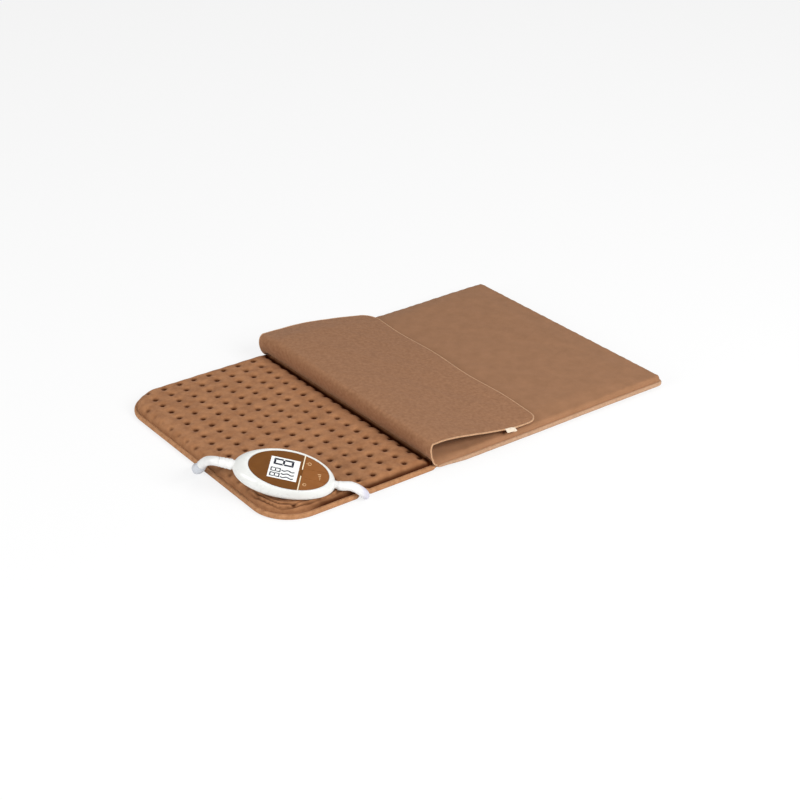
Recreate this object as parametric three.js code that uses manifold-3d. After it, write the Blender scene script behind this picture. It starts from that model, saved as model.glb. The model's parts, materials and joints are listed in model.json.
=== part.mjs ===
// Heating pad in a textile cover, with an in-line controller. Millimetres, Z up, the pad lies on Z = 0.
// +X runs to the closed end of the cover, +Y to the far long side. The origin is the middle of the underside of
// pad and cover.
import * as THREE from "three";
import { mergeVertices } from "three/addons/utils/BufferGeometryUtils.js";
import Module from "manifold-3d";

const wasm = await Module();
wasm.setup();

// Clearance between neighbouring pieces
const GAP = 0.3;

// Pad
const PAD_LEFT = -267;
const PAD_LENGTH = 520;
const PAD_HALF_WIDTH = 164.8;
const PAD_CORNER = 45;
const PAD_BOTTOM_TOP = 6.2;
const CARRIER_BOTTOM = 6.5;
const CARRIER_TOP = 7.3;
const WIRE_RADIUS = 1.2;
const PAD_TOP_BOTTOM = 10.3;
const PUFF_HEIGHT = 13;
const DIMPLE_HEIGHT = 11;
const BINDING_HALF_WIDTH = 2.9;
const BINDING_HALF_HEIGHT = 4.7;
const BINDING_CENTRE_Z = 4.95;

// Tufting dimples of the pad
const TUFT_FIRST_X = -258.3;
const TUFT_STEP_X = 20.15;
const TUFT_COLUMNS = 25;
const TUFT_FIRST_Y = -150.5;
const TUFT_STEP_Y = 17.71;
const TUFT_ROWS = 18;

// Heating wire
const WIRE_ROWS = 10;
const WIRE_ROW_STEP = 32;
const WIRE_TURN_X = 220;
const WIRE_FEED_X = -250;

// Cover
const COVER_RIGHT = 264.3;
const COVER_HALF_WIDTH = 166.8;
const COVER_CORNER = 8;
const COVER_TOP = 15.5;
const COVER_ROUNDING = 4;
const COVER_BACK_LEFT = -62;
const FABRIC = 2.2;
const COVER_FLOOR = 1.8;
const COVER_SIDE = 1.6;
const SEAM_LOW = 6.4;
const SEAM_HIGH = 6.9;
const SEAM_PIPING_RADIUS = 1.2;

// Fold and flap of the cover
const FOLD_X = -66;
const FOLD_TOP_FRONT = 35;
const FOLD_TOP_BACK = 40.3;
const FLAP_HALF_WIDTH = 166;
const FLAP_END = 79;
const FLAP_END_SKEW = 0.03;
const FLAP_CORNER = 12;
const FLAP_END_TOP = 17.9;
const FLAP_PIPING_RADIUS = 1.1;
const LABEL_X = 31;

// Controller: pose of its parting plane
const CONTROLLER_CENTRE = new THREE.Vector3(-228.3, -119.6, 28.8);
const CONTROLLER_YAW = -40.9;
const CONTROLLER_PITCH = 11.6;
const CONTROLLER_ROLL = 12.6;

// Controller: own axes, x to the key end, y to the far side, z out of the face
const BODY_X = 53.7;
const BODY_Y = 30.5;
const BODY_UP = 9.5;
const BODY_DOWN = 12.5;
const BELLY_TAPER = 0.35;
const WALL = 2.2;
const PARTING = 0.15;
const RIM_X = 43.3;
const RIM_Y = 29.4;
const FACE_X = 42.2;
const FACE_Y = 27.2;
const FACE_CENTRE = 3.7;
const FACE_FLOOR = 7.1;
const CAVITY_TOP = 5.3;
const DISPLAY_CENTRE = -1.5;
const DISPLAY_X = 30.5;
const DISPLAY_Y = 31;
const DIVIDER_X = 17.1;
const DIVIDER_WIDTH = 1.2;
const DIVIDER_INNER_Y = 4.8;
const KEY_BOTTOM = 8.2;
const KEY_TOP = 9.4;
const KEY_SPLIT_Y = 7;
const KEY_STEM_BOTTOM = 4.6;
const KEYS = [
  { name: "key_far", y: 13.5, x: 24.5 },
  { name: "key_end", y: 0, x: 36 },
  { name: "key_near", y: -13.5, x: 24.5 },
];
const SCREWS = [[12, 19], [12, -19], [-28, 14.5], [-28, -14.5]];
const BOARD_TOP = 1;
const BOARD_THICKNESS = 1.6;
const MAINS_ENTRY_Z = 3;

// Leads
const PAD_LEAD_RADIUS = 5;
const MAINS_LEAD_RADIUS = 2.5;
const COLLAR_END = -68;
const TERMINAL = { x: -252, y: -13, length: 14, width: 20, bottom: 1.2, top: 9.8 };

// Hank of the mains lead
const HANK_X = -40;
const HANK_Y = 55;
const HANK_HALF_RUN = 44;
const HANK_INNER_RADIUS = 15;
const HANK_PITCH = 5.9;
const HANK_WAIST = 8;
const HANK_LOW_Z = 19.3;
const HANK_LAYER = 5.6;

// Plug
const PLUG_X = -42;
const PLUG_BACK_Y = -52;
const PLUG_LENGTH = 34;
const PLUG_HALF_WIDTH = 13;
const PLUG_HALF_HEIGHT = 6.8;
const PLUG_Z = 22.7;
const PIN_SPACING = 18.6;
const PIN_RADIUS = 2;
const PIN_LENGTH = 18;

const UP = new THREE.Vector3(0, 0, 1);
const radians = THREE.MathUtils.degToRad;
const smooth = (t) => THREE.MathUtils.smoothstep(t, 0, 1);
const point = (x, y, z) => new THREE.Vector3(x, y, z);

function paint(name, color, roughness, metalness = 0) {
  const material = new THREE.MeshStandardMaterial({ color, roughness, metalness });
  material.name = name;
  return material;
}

const PAINT = {
  padFabric: paint("pad_fabric", 0xa87a5a, 0.95),
  binding: paint("binding_fabric", 0xb58a68, 0.95),
  cover: paint("cover_fabric", 0xa0765a, 0.95),
  tape: paint("edge_tape", 0xd9bd9b, 0.9),
  label: paint("label_cloth", 0xf2f0ec, 0.9),
  felt: paint("carrier_felt", 0xd8d2c4, 1),
  wire: paint("wire_silicone", 0xc9c2b4, 0.6),
  white: paint("white_plastic", 0xf0eeea, 0.4),
  face: paint("face_plastic", 0x5a4432, 0.35),
  key: paint("key_plastic", 0x9a6840, 0.4),
  divider: paint("divider_plastic", 0xe8dcc4, 0.4),
  lens: paint("clear_window", 0xe6eaec, 0.1),
  glass: paint("display_glass", 0xd5dade, 0.2),
  board: paint("circuit_board", 0x2f6b45, 0.6),
  black: paint("black_plastic", 0x26262a, 0.5),
  blue: paint("component_blue", 0x3a5f9a, 0.5),
  steel: paint("steel", 0xb8bcc0, 0.35, 1),
  cord: paint("cord_pvc", 0xf0efec, 0.5),
  entry: paint("entry_grey", 0xb9bcc8, 0.55),
};

// Closed solids

function signedVolume(points, triangles) {
  let volume = 0;
  for (let i = 0; i < triangles.length; i += 3) {
    const [a, b, c] = [points[triangles[i]], points[triangles[i + 1]], points[triangles[i + 2]]];
    volume += a.dot(b.clone().cross(c)) / 6;
  }
  return volume;
}

function closedGeometry(points, triangles) {
  const outward = signedVolume(points, triangles) > 0;
  const order = outward ? triangles : triangles.slice().reverse();
  const geometry = new THREE.BufferGeometry().setFromPoints(points);
  geometry.setIndex(order);
  return geometry;
}

// Skin through rings of equally many points, with a cap on each end or the last ring joined to the first.
function loft(rings, joined = false) {
  const count = rings[0].length;
  const points = rings.flat();
  const triangles = [];
  const spans = joined ? rings.length : rings.length - 1;
  for (let ring = 0; ring < spans; ring += 1) {
    const next = ((ring + 1) % rings.length) * count;
    for (let i = 0; i < count; i += 1) {
      const j = (i + 1) % count;
      const [a, b] = [ring * count + i, ring * count + j];
      triangles.push(a, b, next + j, a, next + j, next + i);
    }
  }
  if (!joined) {
    const last = (rings.length - 1) * count;
    const first = points.push(middle(rings[0])) - 1;
    const end = points.push(middle(rings.at(-1))) - 1;
    for (let i = 0; i < count; i += 1) {
      const j = (i + 1) % count;
      triangles.push(first, j, i, end, last + i, last + j);
    }
  }
  return closedGeometry(points, triangles);
}

function middle(ring) {
  return ring.reduce((sum, p) => sum.add(p), point(0, 0, 0)).divideScalar(ring.length);
}

// Sheet between an upper and a lower grid of points, closed round its border.
function sheet(upper, lower) {
  const [rows, columns] = [upper.length, upper[0].length];
  const points = [...upper.flat(), ...lower.flat()];
  const half = rows * columns;
  const at = (row, column) => row * columns + column;
  const triangles = [];
  for (let r = 0; r < rows - 1; r += 1) {
    for (let c = 0; c < columns - 1; c += 1) {
      const [a, b, d, e] = [at(r, c), at(r, c + 1), at(r + 1, c + 1), at(r + 1, c)];
      triangles.push(a, b, d, a, d, e, half + a, half + d, half + b, half + a, half + e, half + d);
    }
  }
  const border = [];
  for (let c = 0; c < columns; c += 1) border.push(at(0, c));
  for (let r = 1; r < rows; r += 1) border.push(at(r, columns - 1));
  for (let c = columns - 2; c >= 0; c -= 1) border.push(at(rows - 1, c));
  for (let r = rows - 2; r > 0; r -= 1) border.push(at(r, 0));
  border.forEach((a, i) => {
    const b = border[(i + 1) % border.length];
    triangles.push(b, a, half + a, b, half + a, half + b);
  });
  return closedGeometry(points, triangles);
}

function directionAt(points, i, joined) {
  const before = points[i - 1] ?? (joined ? points.at(-1) : undefined);
  const after = points[i + 1] ?? (joined ? points[0] : undefined);
  const along = point(0, 0, 0);
  if (before) along.add(points[i].clone().sub(before).normalize());
  if (after) along.add(after.clone().sub(points[i]).normalize());
  return along.normalize();
}

// Section swept along points; sectionAt gives [side, over] pairs for each station.
function sweep(points, sectionAt, joined = false) {
  const rings = points.map((centre, i) => {
    const along = directionAt(points, i, joined);
    const side = point(0, 0, 0).crossVectors(along, UP).normalize();
    const over = point(0, 0, 0).crossVectors(side, along);
    return sectionAt(i).map(([s, o]) => centre.clone().addScaledVector(side, s).addScaledVector(over, o));
  });
  return loft(rings, joined);
}

function circle(radius, sides) {
  return Array.from({ length: sides }, (_, i) => {
    const angle = (2 * Math.PI * i) / sides;
    return [radius * Math.cos(angle), radius * Math.sin(angle)];
  });
}

const tube = (points, radius, sides) => sweep(points, () => circle(radius, sides));
const spline = (points, count) => new THREE.CatmullRomCurve3(points, false, "centripetal").getSpacedPoints(count);

function roundedRectangle(xMin, xMax, halfWidth, radius) {
  const shape = new THREE.Shape();
  shape.moveTo(xMin + radius, -halfWidth);
  shape.absarc(xMax - radius, -halfWidth + radius, radius, -Math.PI / 2, 0);
  shape.absarc(xMax - radius, halfWidth - radius, radius, 0, Math.PI / 2);
  shape.absarc(xMin + radius, halfWidth - radius, radius, Math.PI / 2, Math.PI);
  shape.absarc(xMin + radius, -halfWidth + radius, radius, Math.PI, 1.5 * Math.PI);
  return shape;
}

function extrude(shape, bottom, top, rounding = 0, curveSegments = 8) {
  const geometry = new THREE.ExtrudeGeometry(shape, {
    depth: top - bottom - 2 * rounding,
    bevelEnabled: rounding > 0,
    bevelThickness: rounding,
    bevelSize: rounding,
    bevelOffset: -rounding,
    bevelSegments: 3,
    curveSegments,
  });
  return geometry.translate(0, 0, bottom + rounding);
}

function box(xMin, xMax, yMin, yMax, zMin, zMax) {
  const geometry = new THREE.BoxGeometry(xMax - xMin, yMax - yMin, zMax - zMin);
  return geometry.translate((xMin + xMax) / 2, (yMin + yMax) / 2, (zMin + zMax) / 2);
}

function ellipse(centreX, semiX, semiY) {
  const shape = new THREE.Shape();
  shape.absellipse(centreX, 0, semiX, semiY, 0, 2 * Math.PI);
  return shape;
}

// Turned piece about Z from [radius, height] pairs.
function turned(profile, sides = 12) {
  const line = profile.map(([radius, height]) => new THREE.Vector2(radius, height));
  return new THREE.LatheGeometry(line, sides).rotateX(Math.PI / 2);
}

function pinAlongZ(x, y, radius, bottom, top, sides = 12) {
  return turned([[0, bottom], [radius, bottom], [radius, top], [0, top]], sides).translate(x, y, 0);
}

function pinAlongX(radius, xMin, xMax, z, sides = 16) {
  const pin = turned([[0, xMin], [radius, xMin], [radius, xMax], [0, xMax]], sides);
  return pin.rotateY(Math.PI / 2).translate(0, 0, z);
}

// Cutting and joining

function toSolid(geometry) {
  const plain = geometry.clone();
  plain.deleteAttribute("normal");
  plain.deleteAttribute("uv");
  const welded = mergeVertices(plain, 1e-3);
  const corners = [];
  for (let i = 0; i < welded.index.count; i += 3) {
    const [a, b, c] = [0, 1, 2].map((k) => welded.index.getX(i + k));
    if (a !== b && b !== c && c !== a) corners.push(a, b, c);
  }
  return new wasm.Manifold(new wasm.Mesh({
    numProp: 3,
    vertProperties: new Float32Array(welded.attributes.position.array),
    triVerts: new Uint32Array(corners),
  }));
}

function toGeometry(solid) {
  const mesh = solid.getMesh();
  const geometry = new THREE.BufferGeometry();
  geometry.setAttribute("position", new THREE.BufferAttribute(Float32Array.from(mesh.vertProperties), 3));
  geometry.setIndex(Array.from(mesh.triVerts));
  return geometry;
}

function cut(base, ...tools) {
  return toGeometry(tools.reduce((solid, tool) => solid.subtract(toSolid(tool)), toSolid(base)));
}

function join(base, ...others) {
  return toGeometry(others.reduce((solid, other) => solid.add(toSolid(other)), toSolid(base)));
}

function common(base, ...others) {
  return toGeometry(others.reduce((solid, other) => solid.intersect(toSolid(other)), toSolid(base)));
}

// Assembly

const assembly = new THREE.Group();
assembly.name = "heating_pad";

function group(name) {
  const made = new THREE.Group();
  made.name = name;
  assembly.add(made);
  return made;
}

function add(parent, name, geometry, material) {
  geometry.computeVertexNormals();
  const mesh = new THREE.Mesh(geometry, material);
  mesh.name = name;
  parent.add(mesh);
}

// Pose of the controller, used for its group and for where the leads start

const controller = group("controller");
controller.position.copy(CONTROLLER_CENTRE);
controller.rotation.set(radians(CONTROLLER_ROLL), radians(CONTROLLER_PITCH), radians(CONTROLLER_YAW), "ZYX");
controller.updateMatrix();
const onController = (x, y, z) => point(x, y, z).applyMatrix4(controller.matrix);

// Mains lead: over the front edge, under the pad to the far edge, up into the fold, hank, plug

const bootPath = spline([
  onController(46, 0, MAINS_ENTRY_Z),
  onController(51, 0, MAINS_ENTRY_Z),
  onController(56, 0, MAINS_ENTRY_Z),
  onController(60, 0, MAINS_ENTRY_Z),
  point(-176.5, -165, 19.6),
  point(-168.5, -168.4, 14.1),
  point(-164, -170.7, 9),
  point(-162.2, -170.9, 6),
  point(-161.4, -169.8, 4.3),
  point(-160.9, -168.2, 3.4),
], 22);

const leadPath = spline([
  point(-160.6, -166.9, 3.05),
  point(-159.7, -162.6, 2.75),
  point(-158, -155, 2.7),
  point(-152, -138, 2.7),
  point(-140, -112, 2.7),
  point(-122, -70, 2.7),
  point(-106, -20, 2.7),
  point(-97, 30, 2.7),
  point(-92.5, 90, 2.7),
  point(-90.5, 132, 2.7),
  point(-87.5, 149, 2.7),
  point(-80.5, 160.5, 2.7),
  point(-70, 167.6, 2.7),
  point(-58, 171.7, 3.4),
  point(-46, 173.8, 7.5),
  point(-35, 173, 13.5),
  point(-26.5, 168.3, 18),
  point(-20, 160, 19.2),
  point(-15.5, 148, HANK_LOW_Z),
  point(-13.6, 130, HANK_LOW_Z),
  point(-13.6, HANK_Y + HANK_HALF_RUN + 2, HANK_LOW_Z),
], 52);

// One turn of the hank: far run towards the front, front bend, near run back, back bend. Runs are drawn in
// at the waist. Returns the place for a turn count and a bend radius.
function hankPoint(turn, radius, z) {
  const part = turn - Math.floor(turn);
  const phase = (part * 4) % 1;
  const run = HANK_HALF_RUN * (1 - 2 * phase);
  const drawnIn = HANK_WAIST * Math.cos((Math.PI * run) / (2 * HANK_HALF_RUN)) ** 2;
  const bend = Math.PI * phase;
  if (part < 0.25) return point(HANK_X + radius - drawnIn, HANK_Y + run, z);
  if (part < 0.5) {
    return point(HANK_X + radius * Math.cos(bend), HANK_Y - HANK_HALF_RUN - radius * Math.sin(bend), z);
  }
  if (part < 0.75) return point(HANK_X - radius + drawnIn, HANK_Y - run, z);
  return point(HANK_X - radius * Math.cos(bend), HANK_Y + HANK_HALF_RUN + radius * Math.sin(bend), z);
}

const HANK_TURNS = 4.2499;
const HANK_REVERSAL = 2;
const HANK_STEPS_PER_TURN = 24;
const hankRadius = (turn) => HANK_INNER_RADIUS + HANK_PITCH * Math.abs(turn - HANK_REVERSAL);

// Spirals in on the lower layer, climbs in the half turn about the reversal, spirals out on the upper layer.
function hankPath() {
  const steps = Math.round(HANK_TURNS * HANK_STEPS_PER_TURN);
  return Array.from({ length: steps + 1 }, (_, i) => {
    const turn = (HANK_TURNS * i) / steps;
    const climb = smooth(2 * (turn - HANK_REVERSAL) + 0.5);
    return hankPoint(turn, hankRadius(turn), HANK_LOW_Z + HANK_LAYER * climb);
  });
}

const hank = hankPath();
const hankEnd = hank.at(-1);
const tailPath = spline([
  hankEnd,
  point(hankEnd.x - 0.3, hankEnd.y - 12, hankEnd.z - 0.2),
  point(-23, -12, 23.9),
  point(-34, -27, 23.1),
  point(-40.5, -37, PLUG_Z),
  point(PLUG_X, -46, PLUG_Z),
], 12);

// Smallest clear space between turns of the hank
function leastGap(points, radius) {
  const line = new THREE.CatmullRomCurve3(points).getSpacedPoints(900);
  const step = line[0].distanceTo(line[1]);
  const skip = Math.ceil((6 * radius) / step);
  let least = Infinity;
  for (let i = 0; i < line.length; i += 1) {
    for (let j = i + skip; j < line.length; j += 1) least = Math.min(least, line[i].distanceTo(line[j]));
  }
  return least - 2 * radius;
}

const mainsRoute = [...leadPath, ...hank.slice(1), ...tailPath.slice(1)];
const routeLength = (points) => points.slice(1).reduce((sum, p, i) => sum + p.distanceTo(points[i]), 0);
console.log("hank gap", leastGap([...hank, ...tailPath.slice(1)], MAINS_LEAD_RADIUS).toFixed(2));
console.log("mains lead length", routeLength(mainsRoute).toFixed(0));

// Pad lead: from the collar down to the entry at the pad's left edge

const padLeadPath = spline([
  onController(COLLAR_END - GAP, 0, 0),
  onController(COLLAR_END - 5, 0, -0.2),
  point(-284.8, -63, 39.5),
  point(-283.8, -51, 30.5),
  point(-281.3, -41, 20.8),
  point(-278.6, -32.2, 13.6),
  point(-277.2, -27.7, 10.8),
], 14);
console.log("pad lead length", routeLength(padLeadPath).toFixed(0));

const entryPath = spline([
  point(-277, -27.1, 10.4),
  point(-275.7, -23, 7.9),
  point(-273.4, -18.2, 6.2),
  point(-270.6, -14.4, 5),
  point(-267.5, TERMINAL.y, 4.6),
  point(TERMINAL.x - TERMINAL.length / 2 - GAP, TERMINAL.y, 4.6),
], 14);

function entryRadius(centre) {
  const outside = THREE.MathUtils.clamp((-268.6 - centre.x) / 5, 0, 1);
  return 2.9 + 2.5 * outside;
}

// Pad

const pad = group("pad");
const padShape = (inset) => roundedRectangle(
  PAD_LEFT + inset,
  PAD_LEFT + PAD_LENGTH - inset,
  PAD_HALF_WIDTH - inset,
  PAD_CORNER - inset,
);
const bindingInset = 2 * BINDING_HALF_WIDTH + 2 * GAP;
const leadGroove = tube(leadPath, MAINS_LEAD_RADIUS + 0.4, 8);
const coverStep = box(COVER_BACK_LEFT - 2, 300, -200, 200, -5, COVER_FLOOR + GAP);
const terminalSpace = (grow) => box(
  TERMINAL.x - TERMINAL.length / 2 - grow,
  TERMINAL.x + TERMINAL.length / 2 + grow,
  TERMINAL.y - TERMINAL.width / 2 - grow,
  TERMINAL.y + TERMINAL.width / 2 + grow,
  TERMINAL.bottom - grow,
  TERMINAL.top + (grow ? 5 : 0),
);
const entrySpace = tube(
  [point(-280, TERMINAL.y, 4.6), point(TERMINAL.x, TERMINAL.y, 4.6)],
  2.9 + GAP,
  10,
);

const padBottomSlab = extrude(padShape(bindingInset), 0, PAD_BOTTOM_TOP);
add(
  pad,
  "pad_bottom_fabric",
  cut(padBottomSlab, coverStep, leadGroove, terminalSpace(GAP), entrySpace),
  PAINT.padFabric,
);
add(pad, "heater_carrier", cut(extrude(padShape(11), CARRIER_BOTTOM, CARRIER_TOP), terminalSpace(GAP)), PAINT.felt);

function arc(centreX, centreY, radius, from, to, z, count) {
  return Array.from({ length: count + 1 }, (_, i) => {
    const angle = radians(from + ((to - from) * i) / count);
    return point(centreX + radius * Math.cos(angle), centreY + radius * Math.sin(angle), z);
  });
}

function wirePath() {
  const z = CARRIER_TOP + GAP + WIRE_RADIUS;
  const bend = WIRE_ROW_STEP / 2;
  const top = (WIRE_ROW_STEP * (WIRE_ROWS - 1)) / 2;
  const feedBend = WIRE_FEED_X + bend;
  const ends = TERMINAL.width / 2 + GAP;
  const points = [point(WIRE_FEED_X, TERMINAL.y + ends, z)];
  points.push(...arc(feedBend, top - bend, bend, 180, 90, z, 4));
  for (let row = 0; row < WIRE_ROWS - 1; row += 1) {
    const middleY = top - bend - row * WIRE_ROW_STEP;
    const right = row % 2 === 0;
    const [from, to] = right ? [90, -90] : [90, 270];
    points.push(...arc(right ? WIRE_TURN_X : -WIRE_TURN_X, middleY, bend, from, to, z, 6));
  }
  points.push(...arc(feedBend, -top + bend, bend, 270, 180, z, 4));
  points.push(point(WIRE_FEED_X, TERMINAL.y - ends, z));
  return points;
}

add(pad, "heating_wire", tube(wirePath(), WIRE_RADIUS, 6), PAINT.wire);
add(pad, "safety_thermostat", box(-30, -8, -5.5, 5.5, CARRIER_TOP + GAP, 9.8), PAINT.white);
add(pad, "terminal_block", terminalSpace(0), PAINT.white);

// Quilted top: a low pyramid between every four dimples, trimmed to the pad's rounded outline.
function quiltedTop() {
  const columns = TUFT_COLUMNS + 2;
  const rows = TUFT_ROWS + 2;
  const points = [];
  const triangles = [];
  const lattice = (column, row) => row * columns + column;
  for (let row = 0; row < rows; row += 1) {
    for (let column = 0; column < columns; column += 1) {
      const border = row === 0 || column === 0 || row === rows - 1 || column === columns - 1;
      const x = TUFT_FIRST_X + TUFT_STEP_X * (column - 1);
      const y = TUFT_FIRST_Y + TUFT_STEP_Y * (row - 1);
      points.push(point(x, y, border ? PUFF_HEIGHT - 0.4 : DIMPLE_HEIGHT));
    }
  }
  for (let row = 0; row < rows - 1; row += 1) {
    for (let column = 0; column < columns - 1; column += 1) {
      const corners = [[0, 0], [1, 0], [1, 1], [0, 1]].map(([c, r]) => lattice(column + c, row + r));
      const centre = middle(corners.map((corner) => points[corner]));
      const top = points.push(centre.setZ(PUFF_HEIGHT)) - 1;
      corners.forEach((corner, i) => triangles.push(corner, corners[(i + 1) % 4], top));
    }
  }
  const border = [];
  for (let c = 0; c < columns; c += 1) border.push(lattice(c, 0));
  for (let r = 1; r < rows; r += 1) border.push(lattice(columns - 1, r));
  for (let c = columns - 2; c >= 0; c -= 1) border.push(lattice(c, rows - 1));
  for (let r = rows - 2; r > 0; r -= 1) border.push(lattice(0, r));
  const lower = border.map((corner) => points.push(points[corner].clone().setZ(PAD_TOP_BOTTOM)) - 1);
  const base = points.push(point(0, 0, PAD_TOP_BOTTOM)) - 1;
  border.forEach((corner, i) => {
    const j = (i + 1) % border.length;
    triangles.push(border[j], corner, lower[i], border[j], lower[i], lower[j], base, lower[j], lower[i]);
  });
  return closedGeometry(points, triangles);
}

const padTopOutline = extrude(padShape(1.5), PAD_TOP_BOTTOM - 4, PUFF_HEIGHT + 0.2, 2.8);
add(pad, "pad_top_fabric", common(quiltedTop(), padTopOutline), PAINT.padFabric);

const bindingSection = [0, 45, 90, 135, 180, 225, 270, 315].map((angle) => {
  const [c, s] = [Math.cos(radians(angle)), Math.sin(radians(angle))];
  const square = (value) => Math.sign(value) * Math.abs(value) ** 0.7;
  return [BINDING_HALF_WIDTH * square(c), BINDING_HALF_HEIGHT * square(s)];
});
const bindingLine = padShape(BINDING_HALF_WIDTH).getPoints(10).slice(0, -1);
const binding = sweep(
  bindingLine.filter((p, i) => i === 0 || p.distanceTo(bindingLine[i - 1]) > 0.01)
    .map((p) => point(p.x, p.y, BINDING_CENTRE_Z)),
  () => bindingSection,
  true,
);
add(pad, "pad_edge_binding", cut(binding, coverStep, leadGroove, entrySpace), PAINT.binding);

// Cover: two panels sewn together along three sides

const cover = group("cover");
const coverOuter = extrude(
  roundedRectangle(-140, COVER_RIGHT, COVER_HALF_WIDTH, COVER_CORNER),
  0,
  COVER_TOP,
  COVER_ROUNDING,
);
const coverInner = extrude(
  roundedRectangle(-200, COVER_RIGHT - COVER_SIDE, COVER_HALF_WIDTH - COVER_SIDE, COVER_CORNER - COVER_SIDE),
  COVER_FLOOR,
  COVER_TOP - FABRIC,
);
add(
  cover,
  "cover_back_panel",
  cut(common(coverOuter, box(COVER_BACK_LEFT, 300, -200, 200, -1, SEAM_LOW)), coverInner),
  PAINT.cover,
);
add(
  cover,
  "cover_front_panel",
  cut(common(coverOuter, box(FOLD_X + GAP, 300, -200, 200, SEAM_HIGH, 20)), coverInner),
  PAINT.cover,
);

function seamPath() {
  const out = GAP + SEAM_PIPING_RADIUS;
  const z = (SEAM_LOW + SEAM_HIGH) / 2;
  const side = COVER_HALF_WIDTH + out;
  const cornerX = COVER_RIGHT - COVER_CORNER;
  const cornerY = COVER_HALF_WIDTH - COVER_CORNER;
  return [
    point(COVER_BACK_LEFT + 3, -side, z),
    ...arc(cornerX, -cornerY, COVER_CORNER + out, -90, 0, z, 6),
    ...arc(cornerX, cornerY, COVER_CORNER + out, 0, 90, z, 6),
    point(COVER_BACK_LEFT + 3, side, z),
  ];
}

add(cover, "cover_edge_seam", tube(seamPath(), SEAM_PIPING_RADIUS, 8), PAINT.tape);

// Fold: half a roll from the front panel up and back, larger at the far side

const across = (y) => (y + FLAP_HALF_WIDTH) / (2 * FLAP_HALF_WIDTH);
const foldTop = (y) => THREE.MathUtils.lerp(FOLD_TOP_FRONT, FOLD_TOP_BACK, across(y));
const foldBottom = COVER_TOP - FABRIC;
const FOLD_STATIONS = 8;
const FOLD_STEPS = 10;

function foldGrid(inset) {
  return Array.from({ length: FOLD_STATIONS + 1 }, (_, station) => {
    const y = FLAP_HALF_WIDTH * ((2 * station) / FOLD_STATIONS - 1);
    const radius = (foldTop(y) - foldBottom) / 2;
    return Array.from({ length: FOLD_STEPS + 1 }, (_unused, step) => {
      const angle = radians(270 - (180 * step) / FOLD_STEPS);
      const reach = radius - inset;
      return point(FOLD_X + reach * Math.cos(angle), y, foldBottom + radius + reach * Math.sin(angle));
    });
  });
}

add(cover, "cover_fold", sheet(foldGrid(0), foldGrid(FABRIC)), PAINT.cover);

// Flap: falls from the roll to rest on the front panel

const flapEnd = (y) => FLAP_END + FLAP_END_SKEW * y;

function flapTop(x, y) {
  const way = THREE.MathUtils.clamp((flapEnd(y) - x) / (flapEnd(y) - FOLD_X), 0, 1);
  const front = smooth(way ** 1.3);
  const back = Math.sin((way * Math.PI) / 2);
  return FLAP_END_TOP + (foldTop(y) - FLAP_END_TOP) * THREE.MathUtils.lerp(front, back, across(y));
}

function flapHalfWidth(toEnd) {
  if (toEnd >= FLAP_CORNER) return FLAP_HALF_WIDTH;
  const into = FLAP_CORNER - toEnd;
  return FLAP_HALF_WIDTH - FLAP_CORNER + Math.sqrt(FLAP_CORNER ** 2 - into ** 2);
}

const FLAP_STARTS = [0, 0.1, 0.2, 0.3, 0.4, 0.5, 0.6, 0.7, 0.8, 0.9, 1];
const FLAP_TO_END = [9, 6, 3.5, 1.5, 0.4, 0];

function flapColumns(v) {
  const edge = flapEnd(FLAP_HALF_WIDTH * v);
  const start = FOLD_X + GAP;
  const straight = FLAP_STARTS.map((s) => [start + (edge - FLAP_CORNER - start) * s, FLAP_CORNER]);
  const corner = FLAP_TO_END.map((toEnd) => [edge - toEnd, toEnd]);
  return [...straight, ...corner];
}

function flapGrid(drop) {
  return Array.from({ length: FOLD_STATIONS + 1 }, (_, station) => {
    const v = (2 * station) / FOLD_STATIONS - 1;
    return flapColumns(v).map(([x, toEnd]) => {
      const y = v * flapHalfWidth(toEnd);
      return point(x, y, flapTop(x, y) - drop);
    });
  });
}

add(cover, "cover_flap", sheet(flapGrid(0), flapGrid(FABRIC)), PAINT.cover);

function flapPipingPath() {
  const out = 2 * GAP + FLAP_PIPING_RADIUS;
  const halfway = FABRIC / 2;
  const columns = flapColumns(-1);
  const side = columns.slice(1).map(([x, toEnd]) => {
    const into = Math.max(0, FLAP_CORNER - toEnd) / FLAP_CORNER;
    const normal = new THREE.Vector2(into, Math.sqrt(1 - into ** 2));
    return { x: x - flapEnd(-FLAP_HALF_WIDTH), y: flapHalfWidth(toEnd), normal };
  });
  const front = side.map((p) => ({ dx: p.x + out * p.normal.x, y: -(p.y + out * p.normal.y) }));
  const back = side.map((p) => ({ dx: p.x + out * p.normal.x, y: p.y + out * p.normal.y })).reverse();
  const across5 = [-100, -50, 0, 50, 100].map((y) => ({ dx: out, y }));
  return [...front, ...across5, ...back].map(({ dx, y }) => {
    const x = flapEnd(y) + dx;
    const inside = THREE.MathUtils.clamp(y, -FLAP_HALF_WIDTH, FLAP_HALF_WIDTH);
    return point(x, y, flapTop(Math.min(x, flapEnd(inside)), inside) - halfway);
  });
}

add(cover, "flap_edge_tape", tube(flapPipingPath(), FLAP_PIPING_RADIUS, 6), PAINT.tape);

const labelTop = flapTop(LABEL_X, -FLAP_HALF_WIDTH) - FABRIC / 2;
const labelFace = -FLAP_HALF_WIDTH - 2 * GAP - 2 * FLAP_PIPING_RADIUS - 0.2;
add(
  cover,
  "care_label",
  box(LABEL_X - 4.5, LABEL_X + 4.5, labelFace - 0.5, labelFace, labelTop - 5, labelTop + 0.5),
  PAINT.label,
);

// Controller shells

const RING_POINTS = 30;
const ringAngles = Array.from({ length: RING_POINTS }, (_, i) => (2 * Math.PI * i) / RING_POINTS);
const ellipseRing = (centreX, semiX, semiY, z) => ringAngles.map(
  (angle) => point(centreX + semiX * Math.cos(angle), semiY * Math.sin(angle), z),
);

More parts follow.
